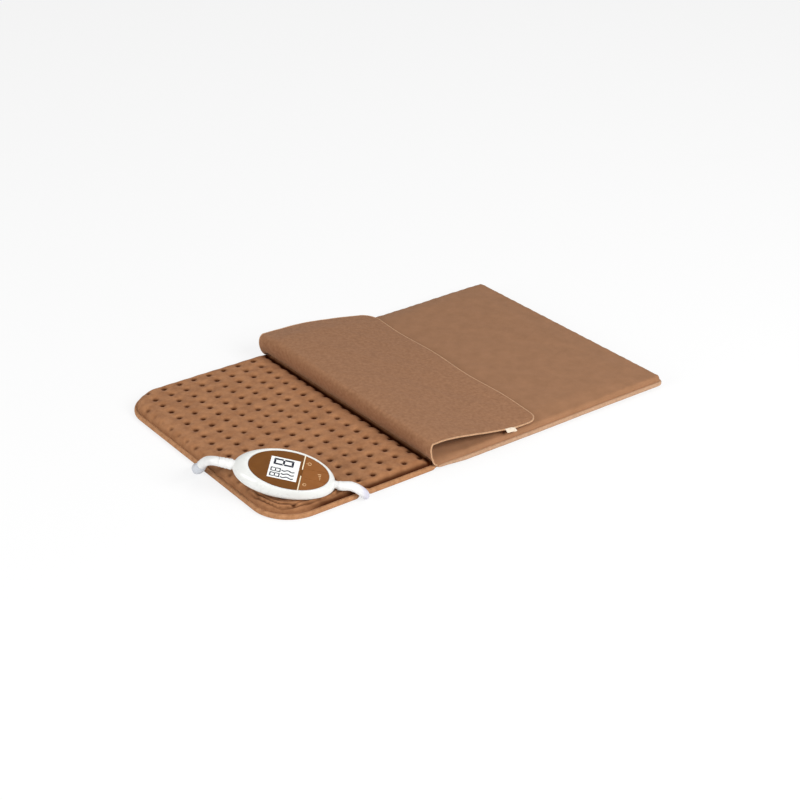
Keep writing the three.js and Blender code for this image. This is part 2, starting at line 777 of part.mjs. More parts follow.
function upperRings(inset, rimInset, bottom, top) {
  return [0, 20, 40, 60, 76, 90].map((angle) => {
    const [c, s] = [Math.cos(radians(angle)), Math.sin(radians(angle))];
    const semiX = RIM_X - rimInset + (BODY_X - inset - RIM_X + rimInset) * c;
    const semiY = RIM_Y - rimInset + (BODY_Y - inset - RIM_Y + rimInset) * c;
    return ellipseRing(FACE_CENTRE * (1 - c), semiX, semiY, bottom + (top - bottom) * s);
  });
}

function lowerRings(inset, top) {
  return [0, 16, 32, 48, 64, 78, 87].map((angle) => {
    const [c, s] = [Math.cos(radians(angle)), Math.sin(radians(angle))];
    return ringAngles.map((turn) => {
      const x = (BODY_X - inset) * c * Math.cos(turn);
      const depth = (BODY_DOWN - inset) * (1 - (BELLY_TAPER * x) / BODY_X) * s;
      return point(x, (BODY_Y - inset) * c * Math.sin(turn), top - depth);
    });
  });
}

const upperOuter = loft(upperRings(0, 0, PARTING, BODY_UP));
const upperCavity = loft([
  ellipseRing(0, BODY_X - WALL, BODY_Y - WALL, -2),
  ...upperRings(WALL, 1.5, PARTING, CAVITY_TOP),
]);
const lowerOuter = loft(lowerRings(0, -PARTING));
const lowerCavity = loft([
  ellipseRing(0, BODY_X - WALL, BODY_Y - WALL, 2),
  ...lowerRings(WALL, -PARTING),
]);
const entryCuts = [
  pinAlongX(5.3, -62, -44, 0),
  pinAlongX(6.1, -48.5, -45.5, 0),
  pinAlongX(4.3, 44, 62, MAINS_ENTRY_Z),
  pinAlongX(5, 45.5, 48.5, MAINS_ENTRY_Z),
];
const facePocket = extrude(ellipse(FACE_CENTRE, FACE_X, FACE_Y), FACE_FLOOR, 12, 0, 20);
const displayOpening = box(
  DISPLAY_CENTRE - DISPLAY_X / 2 + 1,
  DISPLAY_CENTRE + DISPLAY_X / 2 - 1,
  -DISPLAY_Y / 2 + 1,
  DISPLAY_Y / 2 - 1,
  4,
  9,
);
const stemHoles = KEYS.map((key) => pinAlongZ(key.x, key.y, 2.5, 4, 9));
const upperBosses = SCREWS.map(([x, y]) => pinAlongZ(x, y, 3, BOARD_TOP + GAP, CAVITY_TOP + 0.6));
const screwHoles = SCREWS.map(([x, y]) => pinAlongZ(x, y, 1.6, -20, 5));
const screwWells = SCREWS.map(([x, y]) => pinAlongZ(x, y, 2.9, -20, -4.3));
const lowerBosses = SCREWS.map(
  ([x, y]) => common(lowerOuter, pinAlongZ(x, y, 4, -20, BOARD_TOP - BOARD_THICKNESS - GAP)),
);

const upperHollow = cut(upperOuter, upperCavity);
add(
  controller,
  "controller_upper_shell",
  cut(join(upperHollow, ...upperBosses), facePocket, displayOpening, ...stemHoles, ...screwHoles, ...entryCuts),
  PAINT.white,
);
const lowerHollow = cut(lowerOuter, lowerCavity);
add(
  controller,
  "controller_lower_shell",
  cut(join(lowerHollow, ...lowerBosses), ...screwHoles, ...screwWells, ...entryCuts),
  PAINT.white,
);

// Controller face

const faceDisc = (bottom, top) => extrude(ellipse(FACE_CENTRE, FACE_X - GAP, FACE_Y - GAP), bottom, top, 0, 20);
const facePlateEnd = DIVIDER_X - DIVIDER_WIDTH / 2 - GAP;
const faceTab = box(0, DIVIDER_X + DIVIDER_WIDTH / 2, -DIVIDER_INNER_Y + GAP, DIVIDER_INNER_Y - GAP, 0, 20);
const facePlateArea = join(box(-60, facePlateEnd, -40, 40, 0, 20), faceTab);
const displayHole = box(
  DISPLAY_CENTRE - DISPLAY_X / 2 - GAP,
  DISPLAY_CENTRE + DISPLAY_X / 2 + GAP,
  -DISPLAY_Y / 2 - GAP,
  DISPLAY_Y / 2 + GAP,
  0,
  20,
);
add(
  controller,
  "display_panel",
  cut(common(faceDisc(FACE_FLOOR + GAP, KEY_TOP), facePlateArea), displayHole),
  PAINT.face,
);
add(
  controller,
  "display_window",
  box(
    DISPLAY_CENTRE - DISPLAY_X / 2,
    DISPLAY_CENTRE + DISPLAY_X / 2,
    -DISPLAY_Y / 2,
    DISPLAY_Y / 2,
    FACE_FLOOR + GAP,
    KEY_TOP - 0.2,
  ),
  PAINT.lens,
);
add(controller, "display_module", box(-18.6, 15.6, -15.3, 15.3, 2.3, 4.9), PAINT.glass);

const dividerX = [DIVIDER_X - DIVIDER_WIDTH / 2, DIVIDER_X + DIVIDER_WIDTH / 2];
const dividerFar = box(...dividerX, DIVIDER_INNER_Y, 40, 0, 20);
const dividerNear = box(...dividerX, -40, -DIVIDER_INNER_Y, 0, 20);
add(controller, "divider_far", common(faceDisc(FACE_FLOOR + GAP, KEY_TOP + 0.2), dividerFar), PAINT.divider);
add(controller, "divider_near", common(faceDisc(FACE_FLOOR + GAP, KEY_TOP + 0.2), dividerNear), PAINT.divider);

const keyLeft = DIVIDER_X + DIVIDER_WIDTH / 2 + GAP;
const keyHalfGap = 0.2;
const keyBands = {
  key_far: [KEY_SPLIT_Y + keyHalfGap, 40],
  key_end: [-KEY_SPLIT_Y + keyHalfGap, KEY_SPLIT_Y - keyHalfGap],
  key_near: [-40, -KEY_SPLIT_Y - keyHalfGap],
};
KEYS.forEach((key) => {
  const [yMin, yMax] = keyBands[key.name];
  const cap = common(faceDisc(KEY_BOTTOM, KEY_TOP), box(keyLeft, 60, yMin, yMax, 0, 20));
  const stem = pinAlongZ(key.x, key.y, 2, KEY_STEM_BOTTOM, KEY_BOTTOM + 0.4);
  add(controller, key.name, join(cap, stem), PAINT.key);
});

// Controller inside

const boardShape = ellipse(0, 41, 25);
SCREWS.forEach(([x, y]) => {
  const hole = new THREE.Path();
  hole.absarc(x, y, 1.7, 0, 2 * Math.PI, true);
  boardShape.holes.push(hole);
});
const boardBottom = BOARD_TOP - BOARD_THICKNESS;
add(controller, "circuit_board", extrude(boardShape, boardBottom, BOARD_TOP, 0, 12), PAINT.board);

KEYS.forEach((key) => {
  const body = box(key.x - 3, key.x + 3, key.y - 3, key.y + 3, BOARD_TOP + 0.1, 3);
  const plunger = pinAlongZ(key.x, key.y, 1.6, 2.8, 3.5);
  add(controller, key.name.replace("key", "tact_switch"), join(body, plunger), PAINT.black);
});

const underBoard = boardBottom - 0.1;
add(controller, "control_chip", box(18, 26, -4, 4, underBoard - 1.5, underBoard), PAINT.black);
add(controller, "triac", box(-24, -9, -9, 1, underBoard - 4.5, underBoard), PAINT.black);
add(controller, "film_capacitor", box(-12, 2, 6, 15, underBoard - 7, underBoard), PAINT.blue);
add(
  controller,
  "fuse",
  pinAlongX(2.5, -6, 12, underBoard - 2.5, 10).translate(0, -12, 0),
  PAINT.glass,
);
SCREWS.forEach(([x, y], i) => {
  const profile = [[0, -6.3], [2.5, -6.3], [2.5, -4.6], [1.3, -4.6], [1.3, 4.4], [0, 4.4]];
  add(controller, `case_screw_${i + 1}`, turned(profile).translate(x, y, 0), PAINT.steel);
});

// Leads

const collarProfile = [
  [0, 46], [5.7, 46], [5.7, 48], [5, 48], [5, 54.2], [6, 54.2], [6.2, 57.5], [5.6, 58], [5.6, 59], [6.1, 59.5],
  [6, 61.5], [5.5, 62], [5.5, 63], [5.9, 63.5], [5.8, 65.5], [5.3, 66], [5.2, 68], [0, 68],
];
add(controller, "pad_lead_collar", turned(collarProfile, 16).rotateY(-Math.PI / 2), PAINT.cord);

const leads = group("leads");
add(leads, "pad_lead", tube(padLeadPath, PAD_LEAD_RADIUS, 12), PAINT.cord);
add(leads, "pad_lead_entry", sweep(entryPath, (i) => circle(entryRadius(entryPath[i]), 12)), PAINT.entry);

const bootLength = routeLength(bootPath);
function bootRadius(i) {
  const at = (bootLength * i) / (bootPath.length - 1);
  if (at < 2.1) return 4.6;
  if (at < 9.5) return 4;
  return THREE.MathUtils.lerp(2.9, 4.9, Math.min(1, (bootLength - at) / 7));
}
add(leads, "mains_lead_boot", sweep(bootPath, (i) => circle(bootRadius(i), 12)), PAINT.cord);
add(leads, "mains_lead", tube(leadPath, MAINS_LEAD_RADIUS, 8), PAINT.cord);
const hankStart = hank.findIndex((p) => p.y < leadPath.at(-1).y - GAP);
add(leads, "mains_lead_hank", tube([...hank.slice(hankStart), ...tailPath.slice(1)], MAINS_LEAD_RADIUS, 6), PAINT.cord);

const tieHalfWidth = hankRadius(HANK_TURNS - 0.125) - HANK_WAIST + MAINS_LEAD_RADIUS + 0.8;
const tieBottom = HANK_LOW_Z - MAINS_LEAD_RADIUS - 0.4;
const tieTop = HANK_LOW_Z + HANK_LAYER + MAINS_LEAD_RADIUS + 0.4;
const tieShape = (grow) => {
  const [half, height] = [tieHalfWidth + grow, (tieTop - tieBottom) / 2 + grow];
  return roundedRectangle(-half, half, height, MAINS_LEAD_RADIUS + grow);
};
const tieRing = cut(extrude(tieShape(0.7), -4, 4), extrude(tieShape(0), -6, 6));
tieRing.rotateX(Math.PI / 2).translate(HANK_X, HANK_Y, (tieBottom + tieTop) / 2);
add(leads, "hank_tie", tieRing, PAINT.tape);

// Plug with a tapered back and two round pins

function plugRing(y, halfWidth, halfHeight) {
  return Array.from({ length: 16 }, (_, i) => {
    const angle = (2 * Math.PI * (i + 0.5)) / 16;
    const square = (value) => Math.sign(value) * Math.abs(value) ** 0.6;
    const x = PLUG_X + halfWidth * square(Math.cos(angle));
    return point(x, y, PLUG_Z + halfHeight * square(Math.sin(angle)));
  });
}
const plugFront = PLUG_BACK_Y - PLUG_LENGTH;
add(
  leads,
  "plug_body",
  loft([
    plugRing(PLUG_BACK_Y + 5.7, 3.4, 3.4),
    plugRing(PLUG_BACK_Y - 8, 4.6, 4.4),
    plugRing(PLUG_BACK_Y - 14, 10, 6),
    plugRing(PLUG_BACK_Y - 20, PLUG_HALF_WIDTH - 0.5, PLUG_HALF_HEIGHT - 0.2),
    plugRing(plugFront, PLUG_HALF_WIDTH, PLUG_HALF_HEIGHT),
  ]),
  PAINT.cord,
);
[-1, 1].forEach((side) => {
  const profile = [
    [0, 0], [PIN_RADIUS, 0], [PIN_RADIUS, PIN_LENGTH - 1], [PIN_RADIUS - 0.8, PIN_LENGTH], [0, PIN_LENGTH],
  ];
  const pin = turned(profile).rotateX(Math.PI / 2);
  pin.translate(PLUG_X + (side * PIN_SPACING) / 2, plugFront - GAP, PLUG_Z);
  add(leads, side < 0 ? "plug_pin_left" : "plug_pin_right", pin, PAINT.steel);
});

export default assembly;
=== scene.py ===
"""Heating pad in a textile cover with its in-line controller: the looks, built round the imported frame.

Sizes are in millimetres in the frame's own axes; MM turns them into metres where a mesh or curve is made.
"""
import json
import math

import bmesh
import bpy
import numpy as np
from mathutils import Euler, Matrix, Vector


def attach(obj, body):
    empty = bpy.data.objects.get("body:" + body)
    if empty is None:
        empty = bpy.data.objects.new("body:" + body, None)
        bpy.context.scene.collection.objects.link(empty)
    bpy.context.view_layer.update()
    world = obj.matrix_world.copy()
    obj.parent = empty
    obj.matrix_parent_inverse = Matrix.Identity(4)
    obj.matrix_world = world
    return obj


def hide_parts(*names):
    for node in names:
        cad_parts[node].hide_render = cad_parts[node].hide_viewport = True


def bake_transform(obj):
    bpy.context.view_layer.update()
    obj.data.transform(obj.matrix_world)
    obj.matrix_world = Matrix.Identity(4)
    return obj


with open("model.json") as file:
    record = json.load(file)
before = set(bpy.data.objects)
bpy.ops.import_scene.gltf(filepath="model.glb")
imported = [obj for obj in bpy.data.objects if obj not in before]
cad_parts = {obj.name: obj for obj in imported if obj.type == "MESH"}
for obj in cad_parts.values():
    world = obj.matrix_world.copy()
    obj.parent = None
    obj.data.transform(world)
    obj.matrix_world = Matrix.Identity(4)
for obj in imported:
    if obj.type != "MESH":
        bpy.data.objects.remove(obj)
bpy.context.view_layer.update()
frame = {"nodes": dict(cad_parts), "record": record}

MM = 0.001

# Camera at the photograph's viewing angle
CAMERA_PLACE = (-1017.3, -1384.9, 901.6)
CAMERA_DOWN = 27.841
CAMERA_TURN = -36.524
CAMERA_LENS = 75.53
CAMERA_SENSOR = 36.0
CAMERA_REACH_M = 50.0

# Pad
PAD_LEFT = -267.0
PAD_RIGHT = 253.0
PAD_HALF_WIDTH = 164.8
PAD_CORNER = 45.0
PAD_SEAM_INSET = 3.3
PAD_SEAM_Z = 5.9
PAD_SEAM_SOFTNESS = 1.9
# Painted shade along the pad's seam groove: its least and most strength, and from where it deepens.
PAD_SEAM_SHADE = (0.25, 0.95)
PAD_SEAM_SHADE_FROM = -235.0
PAD_UNDER_Z = 6.4
PAD_UNDER_TOP = 6.2
PAD_STEP = 1.45
PAD_UNDER_STEP = 2.9
PUFF_Z = 14.4
PUFF_UNEVEN = 0.15
SHOULDER = 9.0
PRESSED_FROM = -84.0
PRESSED_OVER = 14.0
GATHER_CORNER = (-195.0, -90.0)
GATHER_FRONT = (-135.0, -130.0)
GATHER_INSET = 6.0
GATHER_REACH = 5.5
GATHER_WAVE = 4.6
GATHER_HEIGHT = 1.2
BINDING_INSET = 2.4
BINDING_HALF_WIDTH = 2.4
BINDING_HALF_HEIGHT = 3.0
BINDING_Z = 3.3
BINDING_STEP = 1.6
BINDING_PUCKER = 0.22
BINDING_CORNER = (-205.0, -100.0)
BINDING_LIFT = 4.6
ROLL_SIDES = 24
ROLL_SQUARENESS = 0.8
LEAD_HOLLOW = 5.4
LEAD_CROSSING_FRONT = -159.8
LEAD_CROSSING_BACK = -75.0

# Tufts of the pad
TUFT_FIRST_X = -258.3
TUFT_STEP_X = 20.15
TUFT_COLUMNS = 25
TUFT_FIRST_Y = -150.5
TUFT_STEP_Y = 17.71
TUFT_ROWS = 18
TUFT_STRAY = 0.7
TUFT_MARGIN = 6.0
TUFT_VARIES = 0.12
PIT_DEPTH = 2.7
PIT_RADIUS = 3.1
DISH_DEPTH = 1.6
DISH_RADIUS = 6.5
UNDER_DISH_DEPTH = 0.9
LOWEST_PIT = 10.15

# Cover
OPEN_SIDE = -500.0
COVER_RIGHT = 264.3
COVER_HALF_WIDTH = 166.8
COVER_CORNER = 5.0
COVER_TOP = 15.5
COVER_SHOULDER_Z = 12.4
COVER_FULL_END = 1.4
COVER_FULL_FROM = 120.0
COVER_RISE = 26.0
COVER_EDGE_Z = 5.8
COVER_CLEARANCE = 0.4
COVER_BACK_LEFT = -62.0
COVER_MOUTH = 38.0
COVER_ROUNDING = 3.4
MOUTH_ROUNDING = 6.0
BACK_EDGE_Z = 4.9
BACK_ROUNDING = 5.0
BACK_MOUTH_ROUNDING = 14.0
EDGE_LINE_LEFT = -300.0
EDGE_STEP = 2.5
EDGE_Z = 3.9
EDGE_HALF_HEIGHT = 2.5
EDGE_HALF_WIDTH = 1.9
FABRIC = 2.2
BACK_FABRIC = 1.8
PUCKER = 0.28
PUCKER_REACH = 7.0

# Fold and flap of the cover
FOLD_X = -66.0
FOLD_TOP_FRONT = 35.6
FOLD_TOP_BACK = 40.3
FOLD_BULGE_FRONT = 5.2
FOLD_BULGE_BACK = 8.4
FOLD_LEAN = 2.5
FOLD_BACK_DROP = 4.0
FOLD_DROP_FROM = 132.0
FOLD_SQUARENESS = 0.3
FOLD_END_SQUARENESS = 0.85
FOLD_END_REACH = 22.0
CREASE_DEPTH = 2.6
CREASE_WIDTH = 3.2
CREASE_OFFSET = 1.5
FLAP_HALF_WIDTH = 166.0
FLAP_END = 81.5
FLAP_END_SKEW = 0.02
FLAP_END_WAVE = 1.4
FLAP_CORNER = 17.0
FLAP_END_TOP = 17.9
TAPE_RADIUS = 0.95
TAPE_OVERHANG = 0.3
EDGE_FABRIC = 1.3
EDGE_THINNING = 7.0
LABEL_X = 34.0
LABEL_HALF_WIDTH = 6.8
LABEL_LENGTH = 4.6
LABEL_DROP = 2.6
LABEL_SLOPE = 0.16
LABEL_HALF_THICKNESS = 0.35

# Controller: pose, then sizes in its own axes, x to the key end, y to the far side, z out of the face
CONTROLLER_CENTRE = np.array([-228.3, -119.6, 28.8])
CONTROLLER_TURN = (12.6, 11.6, -40.9)
BODY_X = 53.7
BODY_Y = 30.5
BODY_UP = 9.5
BODY_DOWN = 12.5
BELLY_TAPER = 0.35
PARTING_GAP = 0.04
WALL = 2.2
RIM_X = 43.3
RIM_Y = 29.4
RIM_WALL = 1.5
RIM_LIP = ((0.0, 0.0), (0.5, -0.03), (0.85, -0.2), (1.0, -0.55))
POCKET_X = 42.2
POCKET_Y = 27.2
OPENING = (36.0, 21.5)
FACE_X = 41.95
FACE_Y = 26.95
FACE_CENTRE = 3.7
FACE_FLOOR = 7.1
FACE_TOP = 9.4
CAVITY_TOP = 5.3
DISPLAY_CENTRE = -1.5
DISPLAY_X = 30.5
DISPLAY_Y = 31.0
DISPLAY_TOP = FACE_TOP + 0.08
DIVIDER_LEFT = 16.5
DIVIDER_RIGHT = 17.7
DIVIDER_INNER_Y = 4.8
DIVIDER_PROUD = 0.15
KEY_LEFT = 18.0
KEY_SPLIT_Y = 7.0
KEY_GAP = 0.1
KEY_FLOOR = FACE_FLOOR + 1.1
PLATE_FLOOR = FACE_FLOOR + 0.2
POWER_SIGN = (23.0, 14.8)
LEVEL_SIGN = (35.4, -1.0)
TIME_SIGN = (22.6, -16.4)
BIG_DIGIT = (8.8, 1.3)
SMALL_DIGITS = ((-3.2, 8.0), (-10.6, 8.0))
WAVE_ROWS = (-2.6, -7.4, -12.2)
WAVE_START = 1.8
WAVE_END = -11.6

# Leads
PAD_LEAD_RADIUS = 5.0
MAINS_LEAD_RADIUS = 2.5
MAINS_ENTRY_Z = 3.0
LEAD_SIDES = 28
BOOT_NECK = 4.0
BOOT_RADIUS = 4.9
BOOT_TIP = 2.9
BOOT_SHADE_FROM = -171.0
COLLAR_START = 46.0
COLLAR_STEP = 54.2
COLLAR_END = 68.0
COLLAR_NECK = 5.0
COLLAR_RADIUS = 5.7
COLLAR_TIP = 5.2
COLLAR_GROOVES = (58.5, 62.5, 66.2)
GROOVE_DEPTH = 0.35
ENTRY_RADIUS = 5.5
ENTRY_TIP = 2.9
ENTRY_TIP_X = -268.6
HANK_X = -40.0
HANK_Y = 55.0
HANK_HALF_RUN = 44.0
HANK_INNER_RADIUS = 15.0
HANK_PITCH = 5.9
HANK_WAIST = 8.0
HANK_LOW_Z = 19.3
HANK_LAYER = 5.6
HANK_TURNS = 4.2499
HANK_REVERSAL = 2
HANK_PLACES = 205
TIE_HALF_WIDTH = 4.0
TIE_HALF_THICKNESS = 0.35
PLUG_X = -42.0
PLUG_BACK_Y = -52.0
PLUG_LENGTH = 34.0
PLUG_Z = 22.7
PLUG_SQUARENESS = 0.6
PIN_SPACING = 18.6
PIN_RADIUS = 2.0
PIN_LENGTH = 18.0

# Floor and light, in metres and watts
FLOOR_Z = -0.0004
FLOOR_REACH = 14.0
FLOOR_WHITE = 0.8
SKY_LIGHT = 0.34
LAMPS = {
    "key_light": {"place": (0.9, 0.6, 2.1), "size": 1.4, "power": 7.0},
    "front_light": {"place": (0.3, -1.9, 1.25), "size": 1.1, "power": 44.0},
    "left_light": {"place": (-2.3, 0.1, 0.8), "size": 1.2, "power": 27.0},
}


# Small mathematics

def smooth(t):
    """Smoothstep of t, clamped to 0..1."""
    t = np.clip(t, 0.0, 1.0)
    return t * t * (3 - 2 * t)


def lerp(a, b, t):
    return a + (b - a) * t


def bell(distance, width, power=2):
    """One at no distance, fading out over width."""
    return np.exp(-((distance / width) ** power))


def quarter_round(t):
    """Rise of a quarter circle, steep at nought and level at one."""
    return np.sqrt(1 - (1 - np.clip(t, 0, 1)) ** 2)


def unit(vectors):
    """Vectors drawn to a length of one."""
    return vectors / np.maximum(np.linalg.norm(vectors, axis=-1, keepdims=True), 1e-9)


def ripple(x, y, size, phase):
    """A soft, fixed unevenness between about -1 and 1 with waves of the given size."""
    k = 2 * math.pi / size
    first = np.sin(k * x + phase) * np.cos(0.83 * k * y + 1.7 * phase)
    second = np.sin(1.7 * k * (x + 0.6 * y) + 2.3 * phase)
    third = np.sin(0.61 * k * (y - 0.8 * x) + 0.9 * phase)
    return 0.5 * first + 0.25 * second + 0.25 * third


def scatter(i, j, phase):
    """A fixed number between -1 and 1 for each pair of whole numbers."""
    value = np.sin(12.9898 * i + 78.233 * j + 37.719 * phase) * 43758.5453
    return 2 * (value - np.floor(value)) - 1


def soft_square(count, power, start=0.0):
    """Shares across and up of places round a circle that is drawn out towards a square."""
    turn = 2 * math.pi * (np.arange(count) + start) / count
    return [np.sign(share) * np.abs(share) ** power for share in (np.cos(turn), np.sin(turn))]


def inside_rectangle(x, y, left, right, half_width, corner):
    """How far a point lies inside a rounded rectangle, negative outside."""
    centre, half = (left + right) / 2, (right - left) / 2
    qx = np.abs(x - centre) - (half - corner)
    qy = np.abs(y) - (half_width - corner)
    outside = np.hypot(np.maximum(qx, 0), np.maximum(qy, 0))
    return corner - outside - np.minimum(np.maximum(qx, qy), 0)


def half_width_at(x, left, right, half_width, corner):
    """Half width of a rounded rectangle at x."""
    into = np.clip(np.maximum(left + corner - x, x - (right - corner)), 0, corner)
    return half_width - corner + np.sqrt(corner ** 2 - into ** 2)


def corner_steps(corner, count):
    """Distances from the end of a rounded form, closer together towards the end."""
    return corner * (1 - np.sin(np.radians(np.linspace(0, 90, count))))


def along_path(line):
    """Distance from the start of a line to each of its places."""
    return np.concatenate([[0], np.cumsum(np.linalg.norm(np.diff(line, axis=0), axis=1))])


def spline(points, steps=6):
    """Centripetal Catmull-Rom curve through points, with steps places for each span."""
    points = np.asarray(points, float)
    knots = np.vstack([2 * points[0] - points[1], points, 2 * points[-1] - points[-2]])
    line = []
    for p0, p1, p2, p3 in zip(knots, knots[1:], knots[2:], knots[3:]):
        t1 = np.linalg.norm(p1 - p0) ** 0.5
        t2 = t1 + np.linalg.norm(p2 - p1) ** 0.5
        t3 = t2 + np.linalg.norm(p3 - p2) ** 0.5
        for t in np.linspace(t1, t2, steps, endpoint=False):
            a1 = lerp(p0, p1, t / t1)
            a2 = lerp(p1, p2, (t - t1) / (t2 - t1))
            a3 = lerp(p2, p3, (t - t2) / (t3 - t2))
            b1 = lerp(a1, a2, t / t2)
            b2 = lerp(a2, a3, (t - t1) / (t3 - t1))
            line.append(lerp(b1, b2, (t - t1) / (t2 - t1)))
    return np.array([*line, points[-1]])


def rounded_line(left, right, half_width, corner, step):
    """Places round a rounded rectangle, about step mm apart, with the outward direction at each."""
    middle = np.array([(left + right) / 2, 0.0])
    reach = np.array([(right - left) / 2, half_width]) - corner
    steps = max(6, int(corner * 1.6 / step) + 1)
    corners, outward = [], []
    for start, sides in ((-90, (1, -1)), (0, (1, 1)), (90, (-1, 1)), (180, (-1, -1))):
        for angle in np.radians(np.linspace(start, start + 90, steps)):
            outward.append(np.array([math.cos(angle), math.sin(angle)]))
            corners.append(middle + reach * sides + corner * outward[-1])
    line, directions = [], []
    for a, b, n, m in zip(corners, corners[1:] + corners[:1], outward, outward[1:] + outward[:1]):
        parts = max(1, round(math.dist(a, b) / step))
        for t in np.arange(parts) / parts:
            line.append(lerp(a, b, t))
            directions.append(unit(lerp(n, m, t)))
    return np.array(line), np.array(directions)


CONTROLLER_MATRIX = np.array(Euler([math.radians(a) for a in CONTROLLER_TURN], "XYZ").to_matrix())


def on_controller(points):
    """Places in the controller's own axes, as places in the frame."""
    return CONTROLLER_CENTRE + np.asarray(points, float) @ CONTROLLER_MATRIX.T


# Materials

def srgb(red, green, blue):
    """A colour as seen on a screen, 0..255, as the linear colour that shaders use."""
    parts = (c / 255 for c in (red, green, blue))
    return tuple(c / 12.92 if c < 0.0404 else ((c + 0.055) / 1.055) ** 2.4 for c in parts) + (1.0,)


class Tree:
    """The shader nodes of a material or a world, with a short way to add to them."""

    def __init__(self, owner):
        owner.use_nodes = True
        self.nodes = owner.node_tree.nodes
        self.links = owner.node_tree.links

    def add(self, kind, output, sockets=(), **settings):
        """An output of a new node, whose sockets get a link from an output or a constant."""
        node = self.nodes.new("ShaderNode" + kind)
        for setting, value in settings.items():
            setattr(node, setting, value)
        for socket, value in dict(sockets).items():
            if isinstance(value, bpy.types.NodeSocket):
                self.links.new(value, node.inputs[socket])
            else:
                node.inputs[socket].default_value = value
        return node.outputs[output]

    def seen_directly(self):
        """One for what the camera, gloss or glass sees, nought for light that spreads."""
        path = self.nodes.new("ShaderNodeLightPath").outputs
        seen = path["Is Camera Ray"]
        for ray in ("Is Glossy Ray", "Is Transmission Ray"):
            seen = self.add("Math", 0, {0: seen, 1: path[ray]}, operation="MAXIMUM")
        return seen


class Look(Tree):
    """A principled material, with short ways to add what varies over the surface."""

    def __init__(self, name, roughness, **sockets):
        self.made = bpy.data.materials.new(name)
        super().__init__(self.made)
        self.shader = self.nodes["Principled BSDF"]
        for socket, value in {"Roughness": roughness, **sockets}.items():
            self.shader.inputs[socket.replace("_", " ")].default_value = value
        self.place = self.nodes.new("ShaderNodeTexCoord").outputs["Object"]

    def drive(self, socket, output):
        self.links.new(output, self.shader.inputs[socket])

    def noise(self, size, detail=3.0, rough=0.55, stretch=(1, 1, 1)):
        """Noise with blobs of about size mm, 0..1."""
        place = self.add("VectorMath", 0, {0: self.place, 1: stretch}, operation="MULTIPLY")
        sockets = {"Vector": place, "Scale": 1 / (size * MM), "Detail": detail, "Roughness": rough}
        return self.add("TexNoise", "Fac", sockets)

    def waves(self, size, axis, distortion):
        sockets = {"Vector": self.place, "Scale": 1 / (math.pi * size * MM), "Distortion": distortion}
        return self.add("TexWave", "Fac", sockets, bands_direction=axis)

    def attribute(self, name):
        return self.add("Attribute", "Fac", attribute_name=name)

    def spread(self, value, low=0.3, high=0.7, to_low=0.0, to_high=1.0):
        sockets = {"Value": value, "From Min": low, "From Max": high, "To Min": to_low, "To Max": to_high}
        return self.add("MapRange", "Result", sockets)

    def mix(self, amount, first, second):
        """Colour between two, each an output or a colour as seen on a screen."""
        first, second = (srgb(*c) if isinstance(c, tuple) else c for c in (first, second))
        return self.add("Mix", 2, {0: amount, 6: first, 7: second}, data_type="RGBA")

    def tones(self, pattern, light, dark):
        """Sets a base colour that wanders between two tones, and gives it back."""
        toned = self.mix(self.spread(pattern), dark, light)
        self.drive("Base Color", toned)
        return toned

    def tint(self, attribute, colour):
        """Draws the base colour to another where the attribute is painted on the mesh."""
        base = self.shader.inputs["Base Color"].links[0].from_socket
        self.drive("Base Color", self.mix(self.attribute(attribute), base, colour))
        return self

    def bump(self, *layers):
        """Layers of (height output, depth in mm), laid one on the other."""
        under = {}
        for height, depth in layers:
            sockets = {"Height": height, "Distance": depth * MM, **under}
            under = {"Normal": self.add("Bump", "Normal", sockets)}
        self.drive("Normal", under["Normal"])


CLOTH_SHEEN = 0.05
CLOTH_GLOSS = 0.1


def cloth(name, light, dark, blotch, nap, depth, hills=None):
    """Brushed cloth: soft blotches of two tones, a nap of fine fibres and low hills of (size, depth)."""
    hills = hills or (6 * nap, 1.5 * depth)
    look = Look(name, 0.95, Sheen_Weight=CLOTH_SHEEN, Sheen_Roughness=0.5, Specular_IOR_Level=CLOTH_GLOSS)
    fibres = look.noise(nap, 2.0, 0.7)
    toned = look.tones(look.noise(blotch, 4.0, 0.6), light, dark)
    look.drive("Base Color", look.mix(look.spread(fibres, 0.35, 0.75, 0.0, 0.3), toned, dark))
    look.bump((fibres, depth), (look.noise(hills[0]), hills[1]))
    return look


def pad_cloth():
    """Plush of the pad, with painted shade (darker, with less sheen and gloss) in the tuft pits, the seam
    groove, the crease and the gather troughs.
    """
    look = cloth("pad_plush", (178, 127, 88), (148, 101, 67), 9.0, 0.9, 0.35, (5.0, 0.5))
    # Painted shade: the pit attribute draws the plush to this dark brown and dims its sheen and gloss.
    look.tint("pit", (58, 24, 8))
    for socket, most in (("Sheen Weight", CLOTH_SHEEN), ("Specular IOR Level", CLOTH_GLOSS)):
        look.drive(socket, look.spread(look.attribute("pit"), 0.0, 1.0, most, 0.0))
    return look


def woven(name, light, dark, thread):
    """Narrow woven tape: crossing threads."""
    look = Look(name, 0.9, Sheen_Weight=0.1, Specular_IOR_Level=0.2)
    look.tones(look.noise(3.0), light, dark)
    look.bump(*((look.waves(thread, axis, 0.6), 0.12) for axis in ("X", "DIAGONAL")))
    return look


def plastic(name, light, dark, roughness, **sockets):
    """Moulded plastic: a faint grain, and gloss that varies a little."""
    look = Look(name, roughness, **sockets)
    look.tones(look.noise(14.0), light, dark)
    gloss = look.noise(6.0, 2.0)
    look.drive("Roughness", look.spread(gloss, to_low=roughness - 0.05, to_high=roughness + 0.05))
    look.bump((look.noise(1.2, 2.0), 0.012))
    return look


